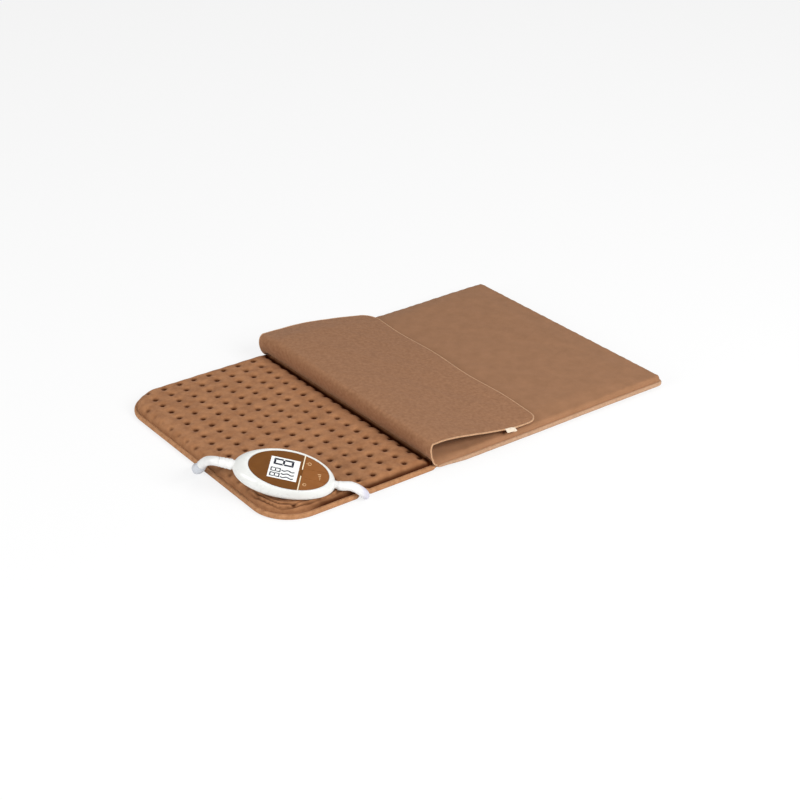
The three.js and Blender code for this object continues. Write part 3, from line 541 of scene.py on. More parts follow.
def metal(name, light, dark):
    """Turned steel with fine drawn lines."""
    look = Look(name, 0.3, Metallic=1.0)
    drawn = look.noise(0.8, 2.0, 0.6, (1, 0.08, 1))
    look.tones(drawn, light, dark)
    look.drive("Roughness", look.spread(drawn, to_low=0.25, to_high=0.42))
    look.bump((drawn, 0.01))
    return look


MATT = {"Specular_IOR_Level": 0.12}
CORD_WHITE = {"light": (226, 226, 224), "dark": (218, 218, 217), "roughness": 0.36, "Coat_Weight": 0.15}

LOOKS = {
    "pad_fabric": pad_cloth(),
    "binding_fabric": cloth("binding_plush", (186, 137, 98), (156, 110, 75), 5.0, 0.8, 0.3),
    "cover_fabric": cloth("cover_suede", (159, 116, 85), (147, 107, 77), 16.0, 0.7, 0.22),
    "flap_lining": cloth("flap_fleece", (164, 120, 88), (142, 101, 72), 4.0, 0.9, 0.3),
    "edge_tape": woven("edge_tape", (202, 160, 124), (176, 134, 99), 0.7),
    "cover_edge": cloth("cover_edge_band", (190, 154, 126), (168, 132, 104), 2.5, 0.7, 0.25),
    "label_cloth": woven("label_cloth", (244, 230, 210), (230, 213, 190), 0.6),
    "carrier_felt": cloth("carrier_felt", (216, 210, 196), (196, 188, 172), 5.0, 0.8, 0.3),
    "wire_silicone": plastic("wire_silicone", (205, 198, 184), (190, 182, 168), 0.55),
    "white_plastic": plastic("white_plastic", (222, 223, 220), (216, 217, 213), 0.3, Coat_Weight=0.3),
    "face_plastic": plastic("face_plastic", (112, 67, 20), (103, 61, 18), 0.45, **MATT),
    "key_plastic": plastic("key_plastic", (140, 87, 41), (131, 80, 36), 0.45, **MATT),
    "divider_plastic": plastic("divider_plastic", (246, 230, 200), (238, 219, 186), 0.4),
    "key_sign": plastic("key_sign", (226, 188, 142), (214, 174, 128), 0.5, **MATT),
    "clear_window": plastic("display_face", (236, 237, 235), (231, 233, 232), 0.16, Coat_Weight=0.5),
    "display_glass": plastic("display_glass", (206, 214, 218), (192, 200, 205), 0.2),
    "display_ink": plastic("display_ink", (36, 39, 54), (28, 30, 44), 0.5, **MATT),
    "circuit_board": plastic("circuit_board", (48, 108, 70), (40, 94, 60), 0.5),
    "black_plastic": plastic("black_plastic", (40, 40, 43), (31, 31, 34), 0.5),
    "component_blue": plastic("component_blue", (58, 95, 154), (48, 82, 136), 0.45),
    "steel": metal("steel", (196, 199, 203), (168, 172, 177)),
    "cord_pvc": plastic("cord_pvc", **CORD_WHITE),
    # The sleeve greys towards its tip: painted shade on its downward bend.
    "sleeve_pvc": plastic("sleeve_pvc", **CORD_WHITE).tint("tip", (196, 194, 206)),
    # Grey of the pad lead's end: painted shade where it bends down over the pad's edge.
    "entry_grey": plastic("entry_grey", (200, 204, 210), (186, 190, 199), 0.42),
}


# Meshes: a form is a pair of places in mm and faces

def new_object(name, data):
    made = bpy.data.objects.new(name, data)
    bpy.context.scene.collection.objects.link(made)
    return made


def mesh_object(name, form, look, sharp=None):
    """A smooth-shaded mesh object of a form. Faces point outwards on closed forms."""
    points, faces = form
    mesh = bpy.data.meshes.new(name)
    mesh.from_pydata((np.asarray(points, float) * MM).tolist(), [], faces)
    work = bmesh.new()
    work.from_mesh(mesh)
    bmesh.ops.remove_doubles(work, verts=work.verts, dist=1e-7)
    bmesh.ops.recalc_face_normals(work, faces=work.faces)
    work.to_mesh(mesh)
    work.free()
    mesh.polygons.foreach_set("use_smooth", [True] * len(mesh.polygons))
    if sharp:
        mesh.set_sharp_from_angle(angle=math.radians(sharp))
    mesh.materials.append(LOOKS[look].made)
    return new_object(name, mesh)


def paint(made, name, value_at):
    """Stores a number on each vertex, worked out from its place in mm."""
    places = np.empty(len(made.data.vertices) * 3)
    made.data.vertices.foreach_get("co", places)
    values = np.asarray(value_at(*(places.reshape(-1, 3) / MM).T), np.float32)
    made.data.attributes.new(name, "FLOAT", "POINT").data.foreach_set("value", values)


def stand_for(nodes):
    """Hides the solids that a piece stands for."""
    if nodes:
        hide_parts(*nodes)


def piece(name, form, look, replaces=(), body="pad", sharp=None):
    """A mesh that rides on a body and hides the solids that it stands for."""
    made = mesh_object(name, form, look, sharp)
    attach(made, body)
    stand_for(replaces)
    return made


def loft(rings, joined=False):
    """Skin through rings of equally many points, capped at both ends or joined last to first."""
    count = len(rings[0])
    points = [tuple(p) for ring in rings for p in ring]
    faces = []
    for ring in range(len(rings) if joined else len(rings) - 1):
        here, there = ring * count, (ring + 1) % len(rings) * count
        for i in range(count):
            j = (i + 1) % count
            faces.append((here + i, here + j, there + j, there + i))
    if not joined:
        for base in (0, (len(rings) - 1) * count):
            centre = len(points)
            points.append(tuple(np.mean(points[base:base + count], axis=0)))
            faces += [(base + i, base + (i + 1) % count, centre) for i in range(count)]
    return points, faces


def sheet(upper, lower):
    """Closed sheet between two grids of places of the same shape."""
    rows, columns = upper.shape[:2]
    half = rows * columns
    points = np.vstack([upper.reshape(-1, 3), lower.reshape(-1, 3)])
    index = np.arange(half).reshape(rows, columns)
    quads = np.stack([index[:-1, :-1], index[:-1, 1:], index[1:, 1:], index[1:, :-1]], -1).reshape(-1, 4)
    border = np.concatenate([index[0], index[1:, -1], index[-1, -2::-1], index[-2:0:-1, 0]])
    after = np.roll(border, -1)
    rim = np.stack([after, border, border + half, after + half], -1)
    return points, np.vstack([quads, quads[:, ::-1] + half, rim]).tolist()


def sheet_over(x, y, upper, lower):
    """Closed sheet between two heights over one grid of x and y."""
    return sheet(np.stack([x, y, upper], -1), np.stack([x, y, lower], -1))


def grid_over(columns, widths, rows):
    """Grids of x and y over an outline; rows run from -1 to 1 across the half width of each column."""
    return np.repeat(columns[:, None], len(rows), 1), np.outer(widths, rows)


def grid_normals(grid):
    return unit(np.cross(np.gradient(grid, axis=1), np.gradient(grid, axis=0)))


def tube(path, radius, count=LEAD_SIDES):
    """Round tube along a path without twist; radius is one number or one for each place."""
    path = np.asarray(path, float)
    along = unit(np.gradient(path, axis=0))
    side = np.cross(along[0], (0.0, 0.0, 1.0))
    turn = 2 * math.pi * np.arange(count)[:, None] / count
    rings = []
    for place, reach, direction in zip(path, np.broadcast_to(radius, len(path)), along):
        side = unit(side - direction * (side @ direction))
        over = np.cross(side, direction)
        rings.append(place + reach * (np.cos(turn) * side + np.sin(turn) * over))
    return loft(rings)


# Camera

def add_camera():
    camera = new_object("camera", bpy.data.cameras.new("camera"))
    camera.data.lens = CAMERA_LENS
    camera.data.sensor_width = CAMERA_SENSOR
    camera.data.clip_end = CAMERA_REACH_M
    camera.location = Vector(CAMERA_PLACE) * MM
    camera.rotation_euler = (math.radians(90 - CAMERA_DOWN), 0.0, math.radians(CAMERA_TURN))
    bpy.context.scene.camera = camera


add_camera()


# Leads

BOOT_ROUTE = [
    *on_controller([(x, 0, MAINS_ENTRY_Z) for x in (46, 51, 56, 60)]),
    (-176.5, -165, 19.6),
    (-168.5, -168.4, 14.1),
    (-164, -170.7, 9),
    (-162.2, -170.9, 6),
    (-161.4, -169.8, 4.3),
    (-160.9, -168.2, 3.4),
]
LEAD_ROUTE = [
    (-160.6, -166.9, 3.05),
    (-159.7, -162.6, 2.75),
    (-158, -155, 2.7),
    (-152, -138, 2.7),
    (-140, -112, 2.7),
    (-122, -70, 2.7),
    (-106, -20, 2.7),
    (-97, 30, 2.7),
    (-92.5, 90, 2.7),
    (-90.5, 132, 2.7),
    (-87.5, 149, 2.7),
    (-80.5, 160.5, 2.7),
    (-70, 167.6, 2.7),
    (-58, 171.7, 3.4),
    (-46, 173.8, 7.5),
    (-35, 173, 13.5),
    (-26.5, 168.3, 18),
    (-20, 160, 19.2),
    (-15.5, 148, HANK_LOW_Z),
    (-13.6, 130, HANK_LOW_Z),
    (-13.6, HANK_Y + HANK_HALF_RUN + 2, HANK_LOW_Z),
]
PAD_LEAD_ROUTE = [
    *on_controller([(-COLLAR_END - 0.3, 0, 0), (-COLLAR_END - 5, 0, -0.2)]),
    (-284.8, -63, 39.5),
    (-283.8, -51, 30.5),
    (-281.3, -41, 20.8),
    (-278.6, -32.2, 13.6),
    (-277.2, -27.7, 10.8),
]
ENTRY_ROUTE = [
    (-283.1, -47.5, 27.3),
    (-281.3, -41, 20.8),
    (-278.6, -32.2, 13.6),
    (-277, -27.1, 10.4),
    (-275.7, -23, 7.9),
    (-273.4, -18.2, 6.2),
    (-270.6, -14.4, 5),
    (-267.5, -13, 4.6),
    (-259.3, -13, 4.6),
]

# Plug: distance behind the back of its body, half width and half height
PLUG_PROFILE = [
    (5.7, 3.2, 3.2),
    (5.2, 3.5, 3.5),
    (-8, 4.6, 4.4),
    (-11, 6.4, 4.9),
    (-14, 9.6, 5.9),
    (-17, 11.8, 6.4),
    (-20, 12.5, 6.6),
    (-27, 12.9, 6.8),
    (-32.4, 13.0, 6.8),
    (-33.4, 12.7, 6.5),
    (-34, 12.0, 5.9),
]


def hank_radius(turn):
    return HANK_INNER_RADIUS + HANK_PITCH * abs(turn - HANK_REVERSAL)


def hank_place(turn):
    """Where the lead is after so many turns: far run, front bend, near run, back bend."""
    quarter, phase = divmod(4 * (turn % 1), 1)
    side = 1 if quarter < 2 else -1
    radius = hank_radius(turn)
    z = HANK_LOW_Z + HANK_LAYER * float(smooth(2 * (turn - HANK_REVERSAL) + 0.5))
    if quarter in (0, 2):
        run = HANK_HALF_RUN * (1 - 2 * phase)
        drawn_in = HANK_WAIST * math.cos(math.pi * run / (2 * HANK_HALF_RUN)) ** 2
        return (HANK_X + side * (radius - drawn_in), HANK_Y + side * run, z)
    bend = math.pi * phase
    reach = HANK_HALF_RUN + radius * math.sin(bend)
    return (HANK_X + side * radius * math.cos(bend), HANK_Y - side * reach, z)


def mains_line():
    """Centreline of the mains lead from the boot to the plug."""
    hank = np.array([hank_place(turn) for turn in np.linspace(0, HANK_TURNS, HANK_PLACES)])
    end = hank[-1]
    tail = [
        end,
        end + (-0.3, -12, -0.2),
        (-23, -12, 23.9),
        (-34, -27, 23.1),
        (-40.5, -37, PLUG_Z),
        (PLUG_X, -46, PLUG_Z),
    ]
    return np.vstack([spline(LEAD_ROUTE, 5), hank[2:-1], spline(tail, 5)])


def cord_curve(name, line, radius, replaces):
    """Round cord along a line."""
    curve = bpy.data.curves.new(name, "CURVE")
    curve.dimensions = "3D"
    curve.bevel_depth = radius * MM
    curve.bevel_resolution = 5
    curve.use_fill_caps = True
    track = curve.splines.new("POLY")
    track.points.add(len(line) - 1)
    track.points.foreach_set("co", np.column_stack([line * MM, np.ones(len(line))]).ravel())
    track.use_smooth = True
    curve.materials.append(LOOKS["cord_pvc"].made)
    made = new_object(name, curve)
    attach(made, "pad")
    stand_for(replaces)
    return made


def add_boot():
    """Tapered sleeve where the mains lead leaves the controller, with painted shade greying its tip where it
    bends down to the pad.
    """
    line = spline(BOOT_ROUTE, 9)
    run = along_path(line)
    swollen = lerp(BOOT_NECK, BOOT_RADIUS, smooth((run - 9) / 3))
    tapered = lerp(BOOT_TIP, BOOT_RADIUS, (run[-1] - run) / 7)
    form = tube(line, np.minimum(swollen, tapered))
    made = piece("mains_lead_sleeve", form, "sleeve_pvc", ["mains_lead_boot"])
    # Painted shade: the tip greys where the sleeve bends down to the pad.
    paint(made, "tip", lambda x, y, z: smooth((x - BOOT_SHADE_FROM) / 7))
    return made


def add_collar():
    """Ribbed collar where the pad lead leaves the controller."""
    along = np.linspace(COLLAR_START, COLLAR_END, 80)
    taper = lerp(COLLAR_RADIUS, COLLAR_TIP, np.clip((along - 56) / 12, 0, 1))
    radius = np.where(along < COLLAR_STEP, COLLAR_NECK, taper)
    for groove in COLLAR_GROOVES:
        radius = radius - GROOVE_DEPTH * bell(along - groove, 0.6)
    line = on_controller([(-x, 0, 0) for x in along])
    return piece("pad_lead_grip", tube(line, radius), "cord_pvc", ["pad_lead_collar"])


def add_entry():
    """Moulded end of the pad lead, which hooks over the pad's edge and goes in under the binding; its grey
    is painted shade on the downward bend.
    """
    line = spline(ENTRY_ROUTE, 6)
    radius = lerp(ENTRY_TIP, ENTRY_RADIUS, np.clip((ENTRY_TIP_X - line[:, 0]) / 5, 0, 1))
    radius[:2] *= (0.955, 0.99)
    return piece("pad_lead_end", tube(line, radius), "entry_grey", ["pad_lead_entry"], sharp=50)


def add_tie():
    """Flat tie round the waist of the hank."""
    thick, wide = TIE_HALF_THICKNESS, TIE_HALF_WIDTH
    half = hank_radius(HANK_TURNS - 0.125) - HANK_WAIST + MAINS_LEAD_RADIUS + 1.15
    half_height = HANK_LAYER / 2 + MAINS_LEAD_RADIUS + 0.75
    middle = HANK_LOW_Z + HANK_LAYER / 2
    edge = [(thick, -wide + 0.4), (thick, wide - 0.4), (0.1, wide), (-0.1, wide)]
    section = edge + [(-out, -along) for out, along in edge]
    rings = []
    for (x, z), (nx, nz) in zip(*rounded_line(-half, half, half_height, MAINS_LEAD_RADIUS + thick, 1.0)):
        x, z = HANK_X + x, middle + z
        rings.append([(x + nx * out, HANK_Y + along, z + nz * out) for out, along in section])
    return piece("hank_band", loft(rings, joined=True), "edge_tape", ["hank_tie"], sharp=50)


def add_plug():
    """Flat two-pin plug with a ribbed neck."""
    across, up = soft_square(40, PLUG_SQUARENESS, 0.5)
    rings = []
    for here, after in zip(PLUG_PROFILE, PLUG_PROFILE[1:] + PLUG_PROFILE[-1:]):
        steps = 8 if here[0] - after[0] > 4 else 1
        for k in range(steps):
            back, width, height = lerp(np.array(here), np.array(after), k / steps)
            groove = GROOVE_DEPTH if steps > 1 and here[0] > 0 and k % 2 else 0.0
            x = PLUG_X + (width - groove) * across
            z = PLUG_Z + (height - groove) * up
            rings.append(np.column_stack([x, np.full(len(x), PLUG_BACK_Y + back), z]))
    pieces = [piece("plug_shell", loft(rings), "cord_pvc", ["plug_body"], sharp=60)]
    reach = np.array([0, 0.01, PIN_LENGTH - 1.6, PIN_LENGTH - 0.6, PIN_LENGTH])
    radius = PIN_RADIUS - np.array([0, 0, 0, 0.35, 1.0])
    front = PLUG_BACK_Y - PLUG_LENGTH - 0.1
    for side, place in ((-1, "left"), (1, "right")):
        line = [(PLUG_X + side * PIN_SPACING / 2, front - r, PLUG_Z) for r in reach]
        form = tube(line, radius, 24)
        pieces.append(piece("contact_pin_" + place, form, "steel", ["plug_pin_" + place], sharp=50))
    return pieces


def add_leads():
    boot, collar, entry, tie = add_boot(), add_collar(), add_entry(), add_tie()
    plug = add_plug()
    mains = cord_curve("mains_cord", mains_line(), MAINS_LEAD_RADIUS, ["mains_lead", "mains_lead_hank"])
    lead = cord_curve("pad_cord", spline(PAD_LEAD_ROUTE, 6), PAD_LEAD_RADIUS, ["pad_lead"])


add_leads()


# Cover heights, which the pad inside follows too

def across_flap(y):
    """Nought at the flap's front edge, one at its back edge."""
    return (y + FLAP_HALF_WIDTH) / (2 * FLAP_HALF_WIDTH)


def fold_bulge(y):
    return lerp(FOLD_BULGE_FRONT, FOLD_BULGE_BACK, across_flap(y))


def cover_inside(x, y):
    return inside_rectangle(x, y, OPEN_SIDE, COVER_RIGHT, COVER_HALF_WIDTH, COVER_CORNER)


def pad_outline(inset):
    """Left, right, half width and corner of the pad's outline, moved inwards by inset."""
    return PAD_LEFT + inset, PAD_RIGHT - inset, PAD_HALF_WIDTH - inset, PAD_CORNER - inset


def pad_inside(x, y, inset=0.0):
    """How far a place lies inside the pad's outline, moved inwards by inset."""
    return inside_rectangle(x, y, *pad_outline(inset))


def mouth(x):
    """One at the open end of the cover, nought a little way in."""
    return 1 - smooth((x - COVER_BACK_LEFT) / COVER_MOUTH)


def seam_puckers(x, y, edge):
    """Small gathers that the cover's seam draws into the front panel."""
    along = np.where(COVER_RIGHT - x < COVER_HALF_WIDTH - np.abs(y), y, x)
    short = np.sin(2 * math.pi * along / 13 + 1.5 * np.sin(along / 21))
    long = np.sin(2 * math.pi * along / 29)
    return PUCKER * (short + 0.6 * long) * smooth(edge / 2.5) * np.exp(-edge / PUCKER_REACH)


def cover_top(x, y):
    """Upper face of the front panel: a tight shoulder at the seam, then flat over the pad inside."""
    edge = np.clip(cover_inside(x, y), 0, None)
    shoulder = quarter_round(edge / (COVER_ROUNDING + MOUTH_ROUNDING * mouth(x)))
    shoulder_z = COVER_SHOULDER_Z + COVER_FULL_END * smooth((x - COVER_FULL_FROM) / 120)
    filled = np.where(x < 0, edge, np.clip(pad_inside(x, y) + 2, 0, None))
    rise = smooth(filled / COVER_RISE) ** 0.8
    uneven = 0.25 * ripple(x, y, 70, 0.4) * smooth(edge / 20) + seam_puckers(x, y, edge)
    return lerp(COVER_EDGE_Z, shoulder_z, shoulder) + (COVER_TOP - shoulder_z) * rise + uneven


# Pad

def nearest_tuft(x, y):
    """Distance to the nearest tuft, and how strongly it draws the cloth down."""
    i = np.clip(np.rint((x - TUFT_FIRST_X) / TUFT_STEP_X), 0, TUFT_COLUMNS - 1)
    j = np.clip(np.rint((y - TUFT_FIRST_Y) / TUFT_STEP_Y), 0, TUFT_ROWS - 1)
    centre_x = TUFT_FIRST_X + TUFT_STEP_X * i + TUFT_STRAY * scatter(i, j, 1)
    centre_y = TUFT_FIRST_Y + TUFT_STEP_Y * j + TUFT_STRAY * scatter(i, j, 2)
    within = smooth((pad_inside(centre_x, centre_y) - TUFT_MARGIN) / TUFT_MARGIN)
    strength = 1 - TUFT_VARIES + TUFT_VARIES * scatter(i, j, 3)
    return np.hypot(x - centre_x, y - centre_y), within * strength


def gathers_at(x, y, edge):
    """Folds of the gathered cloth at the front corner and front edge, -1..1, and their strength."""
    corner = smooth((GATHER_CORNER[0] - x) / 30) * smooth((GATHER_CORNER[1] - y) / 30)
    front = smooth((GATHER_FRONT[0] - x) / 40) * smooth((GATHER_FRONT[1] - y) / 15)
    wander = 1.4 * np.sin((x - y) / 9) + 0.8 * np.sin(x / 4.1)
    strength = np.maximum(corner, 0.8 * front) * bell(edge - GATHER_INSET, GATHER_REACH)
    return np.sin(2 * math.pi * edge / GATHER_WAVE + wander), strength


def pad_height(x, y):
    """Upper face of the quilted pad, and the painted shade at each place: in the tuft pits, the troughs of
    the gathers, the seam groove and the crease beside the roll.
    """
    edge = pad_inside(x, y, PAD_SEAM_INSET)
    away, strength = nearest_tuft(x, y)
    pit = strength * bell(away, PIT_RADIUS)
    dish = strength * bell(away, DISH_RADIUS)
    gathers, gathered = gathers_at(x, y, edge)
    z = lerp(PAD_SEAM_Z, PUFF_Z, quarter_round(edge / SHOULDER)) + PUFF_UNEVEN * ripple(x, y, 34, 1.1)
    z = z - PIT_DEPTH * pit - DISH_DEPTH * dish + GATHER_HEIGHT * gathered * gathers
    pressed = np.minimum(z, cover_top(x, y) - FABRIC - COVER_CLEARANCE)
    z = lerp(z, pressed, smooth((x - PRESSED_FROM) / PRESSED_OVER))
    crease = bell(x - FOLD_X + fold_bulge(y) + CREASE_OFFSET, CREASE_WIDTH)
    z = np.where(edge > SHOULDER, np.maximum(z - CREASE_DEPTH * crease, LOWEST_PIT), z)
    # Painted shade: along the seam groove, in the tuft pits, in the troughs of the gathers and in the crease
    # beside the roll.
    seam = lerp(*PAD_SEAM_SHADE, smooth((x - PAD_SEAM_SHADE_FROM) / 30)) * bell(edge, PAD_SEAM_SOFTNESS)
    dark = np.maximum.reduce([2.0 * pit - 0.2, 0.8 * gathered * smooth(-2 * gathers), seam, 1.3 * crease])
    return z, np.clip(dark, 0, 1)


def painted_shade_at(x, y, z):
    """Painted shade on the pad's upper face only, kept off the faces below it."""
    height, dark = pad_height(x, y)
    return dark * (z > height - 0.2)


def pad_columns(step):
    """Places along the pad, step mm apart where it shows, with its half width at each."""
    left, right, half_width, corner = pad_outline(PAD_SEAM_INSET)
    covered = FOLD_X + 8
    columns = np.concatenate([
        left + np.array([0, 0.08, 0.35, 0.8]),
        np.arange(left + 1.5, covered, step),
        np.linspace(covered, right - corner, 40),
        right - corner_steps(corner, 14)[1:],
    ])
    return columns, half_width_at(columns, left, right, half_width, corner)


def add_pad_top():
    """Quilted top of the pad, with its sewn pits."""
    side = 1 - np.array([0, 0.3, 0.7, 1.2, 2.0, 3.0]) / (PAD_HALF_WIDTH - PAD_SEAM_INSET)
    rows = np.concatenate([-side, np.linspace(-0.974, 0.974, 213), side[::-1]])
    x, y = grid_over(*pad_columns(PAD_STEP), rows)
    top = pad_height(x, y)[0]
    form = sheet_over(x, y, top, np.minimum(PAD_UNDER_Z, top - 0.4))
    made = piece("pad_quilt", form, "pad_fabric", ["pad_top_fabric"])
    # Painted shade in the pits, gather troughs, seam groove and crease, stored as the pit attribute.
    paint(made, "pit", painted_shade_at)


def near_lead(x, y):
    """Distance on the ground from each place to the stretch of lead under the pad."""
    line = spline(LEAD_ROUTE, 4)[:, :2]
    line = line[line[:, 0] < FOLD_X]
    away = np.full(np.shape(x), 1e3)
    for a, b in zip(line, line[1:]):
        along = b - a
        t = np.clip(((x - a[0]) * along[0] + (y - a[1]) * along[1]) / (along @ along), 0, 1)
        away = np.minimum(away, np.hypot(x - a[0] - t * along[0], y - a[1] - t * along[1]))
    return away


def add_pad_underside():
    """Flat lower face of the pad, dimpled by the tufts and hollowed along the lead that runs under it."""
    x, y = grid_over(*pad_columns(PAD_UNDER_STEP), np.linspace(-1, 1, 131))
    away, strength = nearest_tuft(x, y)
    dishes = UNDER_DISH_DEPTH * strength * bell(away, DISH_RADIUS)
    lower = np.maximum.reduce([
        dishes + 3.0 * smooth(1 - pad_inside(x, y, PAD_SEAM_INSET) / 5),
        LEAD_HOLLOW * bell(near_lead(x, y), 4.6, 4),
        (BACK_FABRIC + 0.3) * smooth((x - FOLD_X) / 4),
    ])
    form = sheet_over(x, y, np.full(x.shape, PAD_UNDER_TOP), lower)
    made = piece("pad_underside", form, "pad_fabric", ["pad_bottom_fabric"], sharp=60)


def add_binding():
    """Rolled edge of the pad, puckered by its seam, drawn up over the lead and into the cover."""
    line, outward = rounded_line(*pad_outline(BINDING_INSET), BINDING_STEP)
    across, up = soft_square(ROLL_SIDES, ROLL_SQUARENESS)
    rings = []
    for (x, y), (nx, ny), run in zip(line, outward, along_path(line)):
        near_corner = smooth((BINDING_CORNER[0] - x) / 30) * smooth((BINDING_CORNER[1] - y) / 30)
        waves = math.sin(run / 1.35 + 2 * math.sin(run / 17)) + 0.6 * math.sin(run / 3.1 + 1.3)
        pucker = BINDING_PUCKER * (0.5 + 0.9 * near_corner) * waves
        out = (BINDING_HALF_WIDTH + 0.5 * pucker * (up > -0.4)) * across
        crossing = LEAD_CROSSING_FRONT if y < 0 else LEAD_CROSSING_BACK
        lift = LEAD_HOLLOW * bell(x - crossing, 6.5, 4) if abs(y) > 140 else 0.0
        drawn_up = BINDING_LIFT * smooth((x + 71) / 8) * mouth(x)
        covered = (BACK_FABRIC + 0.2) * smooth((x + 70) / 6)
        lowest = 0.25 + max(lift, covered, drawn_up) + 0.02 * np.arange(ROLL_SIDES)
        z = np.maximum(BINDING_Z + BINDING_HALF_HEIGHT * up + 0.5 * lift, lowest)
        if x > -70:
            z = np.minimum(z, max(cover_top(x, y) - FABRIC - 0.6, 6.0))
        rings.append(np.column_stack([x + nx * out, y + ny * out, z]))
    piece("pad_binding", loft(rings, joined=True), "binding_fabric", ["pad_edge_binding"])


add_pad_top()
add_pad_underside()
add_binding()


# Cover

def panel_grid(left):
    """Places over a panel of the cover, closer together towards its three sewn edges."""
    right, half_width, corner = COVER_RIGHT, COVER_HALF_WIDTH, COVER_CORNER
    sides = half_width - np.array([0, 0.25, 0.6, 1.1, 1.7, 2.5, 4, 6, 9, 13, 18, 24])
    inner = np.linspace(30 - half_width, half_width - 30, 90)
    rows = np.concatenate([-sides, inner, sides[::-1]]) / half_width
    columns = np.concatenate([
        np.linspace(left, right - 30, 100),
        right - np.array([24, 18, 13]),
        np.linspace(right - 9, right - corner - 0.5, 4),
        right - corner_steps(corner, 14),
    ])
    return grid_over(columns, half_width_at(columns, OPEN_SIDE, right, half_width, corner), rows)


def add_front_panel():
    x, y = panel_grid(FOLD_X + 0.1)
    top = cover_top(x, y)
    under = np.minimum(np.maximum(top - FABRIC, COVER_EDGE_Z - 0.3), top - 0.15)
    form = sheet_over(x, y, top, under)
    made = piece("cover_front", form, "cover_fabric", ["cover_front_panel"], sharp=60)


def add_back_panel():
    x, y = panel_grid(COVER_BACK_LEFT)
    rounding = BACK_ROUNDING + BACK_MOUTH_ROUNDING * mouth(x)
    outer = BACK_EDGE_Z * (1 - quarter_round(cover_inside(x, y) / rounding))
    inner = np.minimum(outer + BACK_FABRIC, BACK_EDGE_Z + 0.4)
    form = sheet_over(x, y, inner, outer)
    made = piece("cover_back", form, "cover_fabric", ["cover_back_panel"], sharp=60)


def add_cover_edge():
    """Band that closes the cover's three edges, a soft roll from the back panel up to the seam."""
    line, outward = rounded_line(EDGE_LINE_LEFT, COVER_RIGHT, COVER_HALF_WIDTH, COVER_CORNER, EDGE_STEP)
    keep = line[:, 0] >= FOLD_X - 1.0
    start = int(np.argmax(keep & ~np.roll(keep, 1)))
    order = np.roll(np.arange(len(line)), -start)[:int(keep.sum())]
    across, up = soft_square(ROLL_SIDES, ROLL_SQUARENESS)
    rings = []
    for k, ((x, y), (nx, ny)) in enumerate(zip(line[order], outward[order])):
        slack = 1 + 0.06 * math.sin(k * 0.9) + 0.05 * math.sin(k * 0.37)
        open_end = mouth(x)
        tapered = quarter_round((min(k, len(order) - 1 - k) + 0.15) / 3)
        out = 0.5 - 1.3 * open_end + EDGE_HALF_WIDTH * slack * tapered * across
        middle = EDGE_Z + 0.8 * smooth((x - 60) / 120) + open_end
        z = middle + (EDGE_HALF_HEIGHT - 0.9 * open_end) * tapered * up
        rings.append(np.column_stack([x + nx * out, y + ny * out, z]))
    piece("cover_edge_roll", loft(rings), "cover_edge", ["cover_edge_seam"])


def fold_top(y):
    top = lerp(FOLD_TOP_FRONT, FOLD_TOP_BACK, across_flap(y))
    return top - FOLD_BACK_DROP * smooth((y - FOLD_DROP_FROM) / 34)


def flap_end(y):
    return FLAP_END + FLAP_END_SKEW * y + FLAP_END_WAVE * np.sin(2 * math.pi * (y + 150) / 150)


def flap_top(x, y):
    """Upper face of the flap, from the top of the roll down to where it rests."""
    way = np.clip((flap_end(y) - x) / (flap_end(y) - FOLD_X), 0, 1)
    fall = lerp(smooth(way ** 1.3), np.sin(way * math.pi / 2), across_flap(y))
    return lerp(FLAP_END_TOP, fold_top(y), fall)


def flap_middle(v):
    """Middle line of the fabric at one place across the cover: round the loop, then along the flap."""
    side = FLAP_HALF_WIDTH * v
    low, high = float(cover_top(FOLD_X, side)) - FABRIC, fold_top(side)
    half = (high - low - FABRIC) / 2
    ends = smooth((FLAP_HALF_WIDTH - abs(side)) / FOLD_END_REACH)
    line = []
    for angle in np.radians(np.linspace(270, 90, 31)):
        square = lerp(FOLD_END_SQUARENESS, FOLD_SQUARENESS, ends) if angle > math.pi else 1.0
        out = fold_bulge(side) * abs(math.cos(angle)) ** square
        x = FOLD_X - out - FOLD_LEAN * (1 + math.sin(angle))
        line.append((x, side, (high + low) / 2 + half * math.sin(angle)))
    end = float(flap_end(side))
    straight = np.linspace(line[-1][0], end - FLAP_CORNER, 44)[1:-1]
    places = [(x, FLAP_CORNER) for x in straight]
    for x, to_end in places + [(end - step, step) for step in corner_steps(FLAP_CORNER, 12)]:
        y = v * half_width_at(-to_end, OPEN_SIDE, 0.0, FLAP_HALF_WIDTH, FLAP_CORNER)
        line.append((x, y, float(flap_top(x, y)) - FABRIC / 2))
    return line


def flap_rows():
    """Places across the flap from -1 to 1, closer together towards its two edges."""
    near_edge = 1 - np.array([0, 0.6, 1.6, 3.2, 5.5]) / FLAP_HALF_WIDTH
    inner = 1 - 9 / FLAP_HALF_WIDTH
    return np.concatenate([-near_edge, np.linspace(-inner, inner, 78), near_edge[::-1]])


def flap_surface(rows):
    """Middle of the roll and flap with its soft unevenness, and the direction out of it."""
    grid = np.array([flap_middle(v) for v in rows])
    normal = grid_normals(grid)
    x, y = grid[..., 0], grid[..., 1]
    uneven = 0.5 * ripple(x, y, 95, 2.1) + 0.2 * ripple(x, y, 38, 0.7)
    fixed = smooth(np.arange(grid.shape[1]) / 14) * smooth((flap_end(y) - x) / 30)
    return grid + normal * (uneven * fixed)[..., None], normal


FLAP_ROWS = flap_rows()
FLAP_GRID, FLAP_NORMAL = flap_surface(FLAP_ROWS)


def bending_piece(name, form, look, replaces, sharp=None):
    """A mesh of the roll and flap in the frame's own places, on no body, hiding the solids it stands for."""
    made = mesh_object(name, form, look, sharp)
    stand_for(replaces)
    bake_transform(made)
    return made


